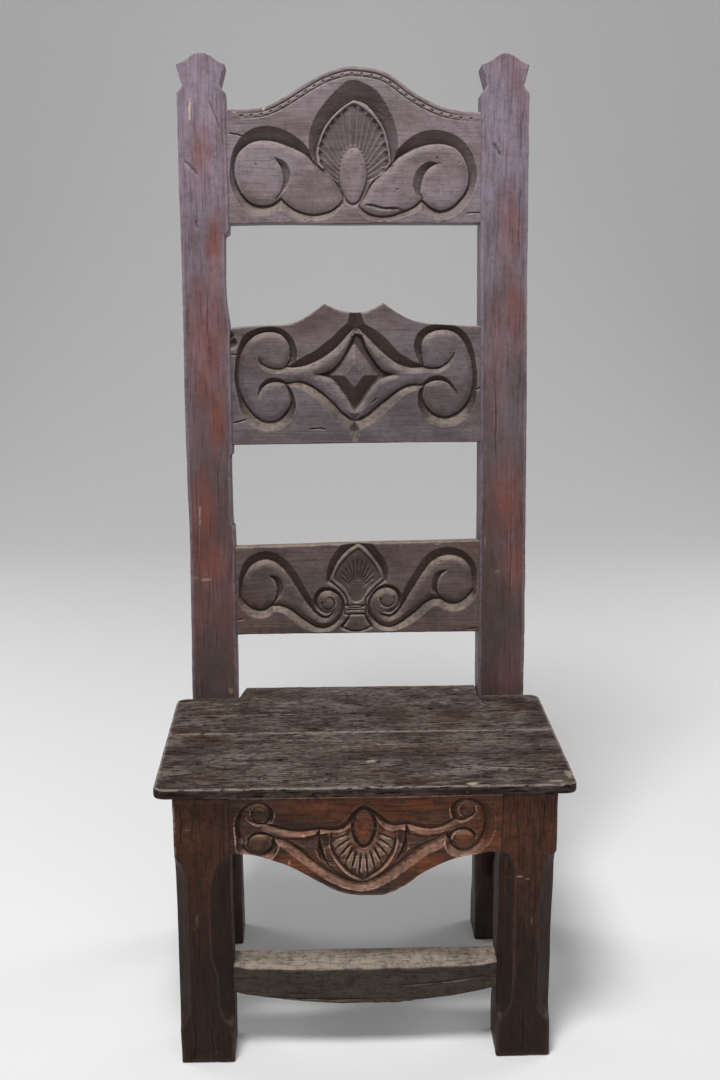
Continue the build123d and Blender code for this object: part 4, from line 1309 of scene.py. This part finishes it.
POST_PATCHES = {
    -1: (
        (-206, 1110, 16, 40), (-203, 862, 30, 90), (-190, 760, 14, 60), (-212, 640, 20, 60),
        (-205, 560, 30, 40), (-190, 980, 12, 60),
    ),
    1: ((205, 1010, 18, 60), (190, 830, 14, 90), (205, 640, 26, 70), (215, 560, 20, 50), (212, 900, 14, 60)),
}
POST_BARE = {
    -1: (
        (-219, 1166, 1.6, 12, 0.9), (-216, 632, 0.7, 14, 0.5), (-222, 612, 7, 0.8, 0.5),
        (-186, 1108, 1, 1, 0.7), (-225, 543, 9, 0.9, 0.5), (-208, 541, 8, 0.7, 0.4),
        (-196, 597, 7, 0.7, 0.4), (-178, 386, 3.6, 3.6, 0.22),
    ),
    1: ((231, 900, 0.8, 30, 0.3), (190, 548, 5, 0.8, 0.4), (206, 800, 1, 1, 0.7), (176, 592, 0.8, 12, 0.35)),
}


LEG_CHAMFERS = {-1: (13, 17.5, 25, 62), 1: (18, 17.5, 18, 30)}
CHAMFER_GROWS_FROM = 122
CHAMFER_FULL_FROM = 148
DEEPEST_CHAMFER = 16
APRON_PEG_X, APRON_PEG_V = 179.5, 320.5
STRETCHER_PEG_X, STRETCHER_PEG_V = 186.5, 107.5
LEG_BARE = {
    -1: (
        (-230, 330, 1.2, 26, 0.5), (-230, 285, 1.0, 14, 0.35), (-206, 196, 0.8, 8, 0.4),
        (-214, 318, 5, 0.8, 0.3),
    ),
    1: (
        (171, 262, 1.0, 12, 0.6), (175, 252, 0.8, 8, 0.5), (176, 247, 5, 0.9, 0.45),
        (187, 250, 3.5, 0.7, 0.4), (196, 246, 3, 0.7, 0.3), (172, 228, 1.2, 8, 0.35),
        (203, 190, 0.8, 7, 0.4), (216, 214, 0.7, 18, 0.3),
    ),
}


def leg(side, name, seed):
    """A front leg: square under the seat and at its foot, with stopped chamfers between."""
    top = leg_high[2]
    levels = np.append(np.arange(0, top, 1.8), top)
    inner_x, outer_x = leg_low[0], leg_high[0]
    low, high = (inner_x, outer_x) if side > 0 else (-outer_x, -inner_x)
    low = low + 0.7 * noise_along(levels, 60, seed)
    high = high + 0.7 * noise_along(levels, 60, seed + 9)
    v, x = grid(levels, low, high, TIMBER_PITCH)
    face = Carving(x, v)
    face.peg_seat(side * APRON_PEG_X, APRON_PEG_V)
    mound(face, side * STRETCHER_PEG_X, STRETCHER_PEG_V)
    face.score_marks(LEG_MARKS[side])
    outer_full, inner_low, inner_full, inner_stop = LEG_CHAMFERS[side]
    grown = np.clip((levels - CHAMFER_GROWS_FROM) / (CHAMFER_FULL_FROM - CHAMFER_GROWS_FROM), 0, 1)
    inner_width = inner_low + (inner_full - inner_low) * grown
    inner = chamfer_size(levels, inner_width, worn(levels, 1.6, seed + 2), inner_stop)
    outer = chamfer_size(levels, outer_full, worn(levels, 2.0, seed + 3))
    back = chamfer_size(levels, REAR_CHAMFER, 1.5)
    first, last = (outer, inner) if side < 0 else (inner, outer)
    into_first = np.minimum(first, DEEPEST_CHAMFER)
    into_last = np.minimum(last, DEEPEST_CHAMFER)
    # Darken the wide chamfers: painted shade on their sloping faces.
    for from_edge, size in ((x - x[:, :1], first), (x[:, -1:] - x, last)):
        face.darken(np.where(size[:, None] > 6, (size[:, None] - from_edge) / 2, 0))
    piece = timber(
        name, face, upright_face(leg_low[1], leg_low[2]), leg_high[1] - leg_low[1],
        ((first, into_first), (last, into_last)), ((back, back), (back, back)), end_wear=2.0,
    )
    store(piece, "cut", padded(face.wax_and_shade, piece))
    roughen(piece, (0, 0, 1), seed, hollow=0.55, ripple=0.16)
    mark_relief(piece)
    mark_dust_and_painted_light(piece, 0.8)
    mark_bare(piece, LEG_BARE[side])
    return dress(piece, materials["leg"], "leg_oak", name)


LEG_MARKS = {
    -1: (
        (((-222, 300), (-221, 330), (-223, 352)), 1.0, 1.5),
        (((-205, 120), (-204, 160), (-206, 210)), 1.0, 1.4),
        (((-214, 60), (-213, 30), (-214, 6)), 1.2, 1.8),
        (((-190, 12), (-192, 34), (-191, 52)), 1.0, 1.4),
    ),
    1: (
        (((206, 255), (207, 220), (205, 190)), 1.0, 1.4),
        (((215, 352), (214, 320), (216, 296)), 1.0, 1.6),
        (((196, 70), (197, 36), (196, 8)), 1.2, 1.8),
        (((212, 150), (211, 110), (213, 70)), 1.0, 1.4),
    ),
}

CORNER_RADIUS = 15
NOSING = 6
FRONT_WEAR = 2.5
FRONT_Y, JOINT_Y = front_board_low[1], front_board_high[1]
SHOULDER_Y, TONGUE_Y = POST_FRONT_Y, rear_board_high[1]
TONGUE_SLANT = 9


def seat_columns():
    """Where the seat's rings stand: close together at the tongue's shoulders and the ends."""
    half = front_board_high[0]
    pitch = 2.0
    ends = half - NOSING * (1 - np.cos(np.linspace(0, np.pi / 2, 7)))
    shoulders = (TONGUE_HALF - 0.3, TONGUE_HALF + 0.3)
    inside = np.arange(0, half - NOSING - 1, pitch)
    inside = inside[np.abs(inside - TONGUE_HALF) > 1.2]
    right = np.unique(np.concatenate((inside, shoulders, ends)))
    return np.unique(np.concatenate((-right, right)))


def front_edge(x, corner):
    """The seat's front edge, set back at its corners."""
    return FRONT_Y + corner


def board_joint(x, corner):
    """The straight joint of the two boards."""
    return np.full_like(x, JOINT_Y)


def rear_edge(x, corner):
    """The seat's rear edge: a shoulder before each post and a tongue between them, slanted on the left."""
    tongue = np.interp(x, (-TONGUE_HALF, TONGUE_SLANT - TONGUE_HALF), (SHOULDER_Y, TONGUE_Y))
    return np.where(np.abs(x) < TONGUE_HALF, tongue, SHOULDER_Y - corner)


def front_edge_wear():
    """How worn the seat's front edge is at each ring."""
    along = seat_columns()
    return FRONT_WEAR * (1 + 0.2 * noise_along(along, 40, 101) + 0.2 * noise_along(along, 9, 102))


def seat_board(name, low_edge, high_edge, arris, back_arris, marks, seed):
    """A board of the seat between two edges, with rounded ends and corners."""
    along = seat_columns()
    half = front_board_high[0]
    beyond = np.clip(np.abs(along) - (half - CORNER_RADIUS), 0, CORNER_RADIUS)
    corner = CORNER_RADIUS - np.sqrt(CORNER_RADIUS**2 - beyond**2)
    pitch = 1.6
    face = Carving(*grid(along, low_edge(along, corner), high_edge(along, corner), pitch))
    face.score_marks(marks)
    thickness = SEAT_TOP - SEAT_UNDER
    piece = timber(name, face, flat_top(SEAT_TOP), thickness, arris, back_arris, end_wear=NOSING)
    roughen(piece, (1, 0, 0), seed, hollow=0.35, ripple=0.2)
    mark_relief(piece)
    mark_dust_and_painted_light(piece, 0, least=0.62, full=1.0)
    mark_bare(piece, SEAT_BARE, on_top=True)
    return dress(piece, materials["seat"], "seat_oak", name)


SEAT_MARKS = (
    (((90, -180), (150, -176), (205, -181), (246, -178)), 1.6, 2.5),
    (((-230, -120), (-150, -123), (-60, -119)), 1.2, 1.2),
    (((-120, -205), (-60, -203), (10, -206)), 1.2, 1.4),
    (((30, -90), (120, -94), (190, -91)), 1.2, 1.2),
    (((-200, -160), (-160, -158), (-130, -161)), 1.0, 1.0),
    (((-40, -140), (40, -143), (90, -141)), 1.0, 1.2),
)
REAR_MARKS = (
    (((-236, 10), (-150, 6), (-40, 9)), 1.4, 1.8),
    (((0, 40), (90, 44), (160, 41)), 1.2, 1.4),
    (((60, -30), (140, -27), (240, -29)), 1.2, 1.4),
    (((-200, 50), (-130, 48), (-60, 52)), 1.0, 1.0),
)


SEAT_BARE = (
    (10, -148, 7, 2.5, 0.6), (-60, -60, 12, 2, 0.5), (-82, -64, 5, 2, 0.4), (30, -98, 14, 1.2, 0.4),
    (128, -220, 7, 4, 0.7), (228, -214, 9, 3, 0.45), (246, -196, 4, 10, 0.4), (-30, 96, 9, 2, 0.4),
    (140, 96, 4, 5, 0.35), (-120, -160, 10, 1.2, 0.3), (90, -30, 16, 1.1, 0.3), (180, -80, 12, 1.1, 0.3),
)


STRETCHER_REACH = 180
STRETCHER_HALF = 164.5
STRETCHER_BOW = 20
STRETCHER_HEIGHT = 38
TRODDEN_HALF = 164
TRODDEN_FADE = 22
STRETCHER_MARKS = (
    (((-140, 8), (-60, 2), (20, 1)), 1.2, 1.6),
    (((40, 20), (100, 24), (150, 30)), 1.2, 1.4),
)


def front_stretcher(seed):
    """The front stretcher hangs in a slight bow; feet have worn its top edge to a bevel."""
    low, high = corners("front_stretcher")
    along = np.arange(-STRETCHER_REACH, STRETCHER_REACH + 1, 2.0)
    middle = 1 - np.clip(np.abs(along) / STRETCHER_HALF, 0, 1) ** 2
    top = np.full_like(along, high[2])
    bottom = high[2] - STRETCHER_HEIGHT - STRETCHER_BOW * middle
    face = Carving(*grid(along, bottom - low[2], top - low[2], TIMBER_PITCH))
    face.score_marks(STRETCHER_MARKS)
    reach = np.clip((TRODDEN_HALF - np.abs(along)) / TRODDEN_FADE, 0, 1)
    front_wear = 3 + reach * (1.5 + 3.5 * middle) * (1 + 0.15 * noise_along(along, 30, seed))
    deep_wear = 4 + reach * (7 + 5 * middle) * (1 + 0.1 * noise_along(along, 36, seed + 1))
    under = worn(along, 2, seed)
    piece = timber(
        "front_stretcher", face, upright_face(low[1], low[2]), high[1] - low[1],
        ((under, under), (front_wear, deep_wear)), ((2, 2), (3, 3)),
    )
    roughen(piece, (1, 0, 0), seed, hollow=0.6, ripple=0.22)
    mark_relief(piece)
    mark_dust_and_painted_light(piece, 1.0)
    return dress(piece, materials["stretcher"], "stretcher_oak", "front_stretcher")


def plain_timber(name, slot, material, seed):
    """A straight rail or stretcher, hewn square, in place of its CAD node."""
    low, high = corners(name)
    from_side = high[1] - low[1] > high[0] - low[0]
    axis = 1 if from_side else 0
    thin = 1 - axis
    along = np.linspace(low[axis], high[axis], 90)
    height = high[2] - low[2]
    face = Carving(*grid(along, np.zeros_like(along), np.full_like(along, height), 2 * TIMBER_PITCH))
    if from_side:
        outer = max(low[0], high[0], key=abs)
        place = side_face(outer, low[2])
    else:
        place = upright_face(low[1], low[2])
    lip = worn(along, 1.8, seed)
    piece = timber(name, face, place, high[thin] - low[thin], ((lip, lip), (lip, lip)))
    roughen(piece, (0, 1, 0) if from_side else (1, 0, 0), seed, hollow=0.5, ripple=0.15)
    mark_relief(piece)
    return dress(piece, material, slot, name)


# ---------------------------------------------------------------- the chair

# Painted light from above: the back rails step from a light purple-grey crest to darker brown rails lower
# down, lit and shaded copies of one oak, and the posts are light and sheened at the top.
POST_TONES = tones(
    body=(120, 108, 121), deep=(66, 52, 53), warm=(106, 58, 48), grey=(138, 127, 141),
    lower=(66, 51, 45), foot=(34, 22, 17),
)
CREST_TONES = tones(body=(105, 93, 98), deep=(52, 41, 37), warm=(96, 73, 64), grey=(132, 119, 127))
MIDDLE_TONES = tones(body=(84, 75, 79), deep=(44, 34, 31), warm=(90, 60, 52), grey=(116, 105, 108))
LOWER_TONES = tones(body=(76, 62, 60), deep=(40, 30, 27), warm=(94, 64, 52), grey=(110, 95, 89))
SEAT_TONES = tones(body=(84, 70, 63), deep=(30, 21, 17), warm=(66, 42, 32), grey=(134, 124, 118))
APRON_TONES = tones(body=(58, 31, 16), deep=(24, 13, 8), warm=(114, 60, 30), grey=(172, 138, 124))
LEG_TONES = tones(body=(68, 39, 24), deep=(25, 15, 10), warm=(88, 46, 27), grey=(82, 60, 50))
LEG_FOOT = colour(40, 26, 19)
STRETCHER_TONES = tones(body=(58, 51, 45), deep=(30, 25, 21), warm=(56, 42, 34), grey=(84, 76, 68))
PEG_TONES = tones(body=(62, 44, 36), deep=(34, 24, 19), warm=(72, 46, 34), grey=(96, 80, 68))
FRAME_LOOKS = {"warmth": 0.3, "painted_sheen": 0.2, "edges": 0.3, "shine": 0.14}
# Painted shade for the faces that look down on the apron, then on the seat's front.
APRON_PAINTED_SHADE = colour(26, 17, 13)
SEAT_PAINTED_SHADE = colour(34, 20, 15)
# Dust with painted light on the stretcher's top, then the apron's dust tone, which also paints a highlight on
# its arms.
STRETCHER_DUST_AND_LIGHT = colour(152, 139, 127)
APRON_DUST_AND_HIGHLIGHT = colour(176, 134, 114)

materials = {
    "post": oak(
        "post_oak", "lean", **POST_TONES, warmth=0.4, painted_sheen=0.45, lines=0.22, pores=0.3, streaky=0.4,
        edges=0.3, rough=0.46, heights=(0.5, 1.4), seed=1.3,
    ),
    "crest": oak(
        "crest_oak", "x", **CREST_TONES, warmth=0.3, painted_sheen=0.5, lines=0.04, pores=0.18, streaky=0.25,
        dust_and_light=0.6, specked=0.2, seed=4.1,
    ),
    "middle": oak(
        "middle_oak", "x", **MIDDLE_TONES, warmth=0.35, painted_sheen=0.45, lines=0.04, pores=0.18, streaky=0.25,
        waxed_and_shaded=0.8, dust_and_light=0.7, specked=0.2, seed=7.7,
    ),
    "lower": oak(
        "lower_oak", "x", **LOWER_TONES, warmth=0.6, painted_sheen=0.4, lines=0.06, pores=0.2, streaky=0.3,
        dust_and_light=0.8, specked=0.2, seed=11.2,
    ),
    "seat": oak(
        "seat_oak", "x", **SEAT_TONES, warmth=0.6, painted_sheen=0.55, lines=0.6, pores=1.0, streaky=1.0, edges=0.75,
        exposed=1, dust_and_light=0, painted_shade=1.0, painted_shade_tone=SEAT_PAINTED_SHADE, speckle=0.6, specked=0.8, rough=0.6,
        shine=0.1, scale=1.5, short=3.0, seed=2.9,
    ),
    "apron": oak(
        "apron_oak", "x", **APRON_TONES, warmth=0.55, painted_sheen=0.1, lines=0.3, pores=0.4, streaky=0.9, edges=0.9,
        waxed_and_shaded=0.75, dust_and_light=1.0, dust_and_light_tone=APRON_DUST_AND_HIGHLIGHT, painted_shade=0.85, painted_shade_tone=APRON_PAINTED_SHADE, exposed=0.25,
        speckle=0.5, specked=0.15, rough=0.36, shine=0.18, seed=5.5,
    ),
    "leg": oak(
        "leg_oak", "z", **LEG_TONES, lower=LEG_FOOT, heights=(0.1, 0.33), warmth=0.5, painted_sheen=0.3, lines=0.25,
        pores=0.4, edges=0.35, waxed_and_shaded=0.45, dust_and_light=0.3, speckle=0.5, specked=0.1, rough=0.5, shine=0.14,
        seed=8.4,
    ),
    "stretcher": oak(
        "stretcher_oak", "x", **STRETCHER_TONES, warmth=0.2, painted_sheen=0.3, lines=0.2, pores=0.5, edges=0.55,
        exposed=1, dust_and_light=0.9, dust_and_light_tone=STRETCHER_DUST_AND_LIGHT, speckle=0.6, rough=0.65, shine=0.15, short=1.6,
        seed=3.6,
    ),
    "frame_x": oak("frame_oak_across", "x", **LEG_TONES, **FRAME_LOOKS, seed=6.2),
    "frame_y": oak("frame_oak_deep", "y", **LEG_TONES, **FRAME_LOOKS, seed=9.8),
    "peg": oak("peg_oak", "y", **PEG_TONES, warmth=0.4, painted_sheen=0.3, shine=0.14, seed=12.5),
}

CREST_BARE = ((-121, 1165, 2.2, 3.5, 0.9), (-160, 1162, 3, 1.5, 0.5), (96, 1168, 3, 1.5, 0.4))
# Pale worn spots at the tip of the middle rail's V tail, which also paint the light on its groove.
MIDDLE_BARE_AND_LIGHT = ((-3, 742, 8, 9, 0.16), (-3, 733, 3.5, 6, 0.16))
APRON_BARE = (
    (-75, 306, 2.5, 2, 0.7), (-93, 272, 1.5, 2.5, 0.6), (55, 307, 3, 2, 0.8), (-150, 300, 2, 4, 0.3),
    (-3, 272, 22, 16, 0.2), (-27, 294, 14, 16, 0.18), (22, 294, 14, 16, 0.18),
)
APRON_WARM = (
    (-2.5, 316, 12, 20), (-60, 344, 60, 10), (60, 344, 50, 10), (-84, 266, 34, 18), (80, 264, 36, 18),
    (-176, 300, 12, 50), (172, 300, 12, 50), (-70, 306, 40, 8), (64, 306, 40, 8),
)

carved_rail(
    "crest_rail", leaning_face("crest_rail"), CREST_TOP, CREST_BOTTOM, RAIL_THICKNESS,
    carve_crest, 1.35, materials["crest"], "back_rail_oak", seed=21, bare=CREST_BARE,
)
carved_rail(
    "middle_rail", leaning_face("middle_rail"), MIDDLE_TOP, MIDDLE_BOTTOM, RAIL_THICKNESS,
    carve_middle, 1.4, materials["middle"], "back_rail_oak", seed=31, bare=MIDDLE_BARE_AND_LIGHT,
)
carved_rail(
    "lower_rail", leaning_face("lower_rail"), LOWER_TOP, LOWER_BOTTOM, RAIL_THICKNESS,
    carve_lower, 1.35, materials["lower"], "back_rail_oak", seed=41,
)
carved_rail(
    "front_apron", upright_face(apron_low[1], apron_low[2]), APRON_TOP, APRON_EDGE,
    apron_high[1] - apron_low[1], carve_apron, 1.3, materials["apron"], "apron_oak", seed=51,
    bare=APRON_BARE, warm=APRON_WARM,
)
post(-1, "back_post_left", 61)
post(1, "back_post_right", 71)
leg(-1, "front_leg_left", 81)
leg(1, "front_leg_right", 91)

front_wear = front_edge_wear()
seat_board(
    "seat_board_front", front_edge, board_joint, ((front_wear, front_wear), (0.8, 0.8)),
    ((NOSING, NOSING), (0.6, 0.6)), SEAT_MARKS, seed=103,
)
seat_board(
    "seat_board_rear", board_joint, rear_edge, ((0.8, 0.8), (2.5, 2.5)),
    ((1.0, 1.0), (1.0, 1.0)), REAR_MARKS, seed=113,
)
front_stretcher(121)
for number, name in enumerate(("side_rail_left", "side_rail_right")):
    plain_timber(name, "frame_oak", materials["frame_y"], 131 + number)
plain_timber("rear_rail", "frame_oak", materials["frame_x"], 135)
for number, name in enumerate(("side_stretcher_left", "side_stretcher_right")):
    plain_timber(name, "stretcher_oak", materials["frame_y"], 137 + number)

PEG_NODES = (
    "crest_rail_pegs", "middle_rail_pegs", "lower_rail_pegs", "apron_pegs", "front_stretcher_pegs",
    "rear_rail_pegs", "side_rail_pegs", "side_stretcher_pegs", "seat_rail_dowels", "seat_joint_dowels",
)
for name in PEG_NODES:
    node = bpy.data.objects[name]
    node.data.materials.clear()
    node.data.materials.append(materials["peg"])

# ---------------------------------------------------------------- floor, light and camera


def plain_paint(name, shade):
    """A matt paint in one shade."""
    n = Nodes(name)
    n.feed(n.shader, {"Base Color": (*shade, 1), "Roughness": 0.9, "Specular IOR Level": 0.1})
    return n.material


def sweep():
    """A plain floor that curves up into a plain wall, behind the place of a camera at the back."""
    half, front, wall, bend, height = 7.0, -5.0, 4.6, 2.2, 6.0
    line = [(front, 0.0)]
    line += [(wall - bend + bend * sin(t), bend - bend * cos(t)) for t in np.radians(np.arange(0, 91, 3))]
    line.append((wall, height))
    places = [(x, y, z) for y, z in line for x in (-half, half)]
    faces = [(2 * k, 2 * k + 1, 2 * k + 3, 2 * k + 2) for k in range(len(line) - 1)]
    mesh = bpy.data.meshes.new("sweep")
    mesh.from_pydata(places, [], faces)
    mesh.shade_smooth()
    mesh.materials.append(plain_paint("pale_paper", (0.78, 0.78, 0.78)))
    backdrop = bpy.data.objects.new("sweep", mesh)
    bpy.context.scene.collection.objects.link(backdrop)
    return backdrop


def soft_light(name, place, target, size, power):
    """A round lamp of a size in metres and a power in watts, turned to a target."""
    data = bpy.data.lights.new(name, "AREA")
    data.shape = "DISK"
    data.size = size
    data.energy = power
    lamp = bpy.data.objects.new(name, data)
    lamp.location = place
    lamp.rotation_euler = (Vector(target) - Vector(place)).to_track_quat("-Z", "Y").to_euler()
    bpy.context.scene.collection.objects.link(lamp)
    return lamp


sweep()
soft_light("key", (-0.45, -1.25, 3.1), (0, 0.05, 0.7), 0.9, 82)
soft_light("fill", (0.8, -3.2, 1.5), (0, 0, 0.6), 2.2, 22)
soft_light("left_side", (-2.6, 1.2, 1.3), (0, 0, 0.6), 1.4, 24)
soft_light("right_side", (2.6, 1.2, 1.3), (0, 0, 0.6), 1.4, 24)

world = bpy.data.worlds.new("studio")
world.use_nodes = True
world.node_tree.nodes["Background"].inputs["Color"].default_value = (0.9, 0.9, 0.9, 1)
world.node_tree.nodes["Background"].inputs["Strength"].default_value = 0.25
bpy.context.scene.world = world

camera_data = bpy.data.cameras.new("camera")
camera_data.sensor_fit = "VERTICAL"
camera_data.sensor_height = 36
camera_data.lens = 44.11
camera = bpy.data.objects.new("camera", camera_data)
camera.location = (-0.0526, -1.6689, 1.0404)
turn = Euler((0, 0, radians(-1.81))).to_matrix() @ Euler((radians(90 - 14.14), 0, 0)).to_matrix()
camera.rotation_euler = (turn @ Euler((0, 0, radians(-0.10))).to_matrix()).to_euler()
bpy.context.scene.collection.objects.link(camera)
bpy.context.scene.camera = camera
bpy.context.scene.view_settings.view_transform = "Standard"
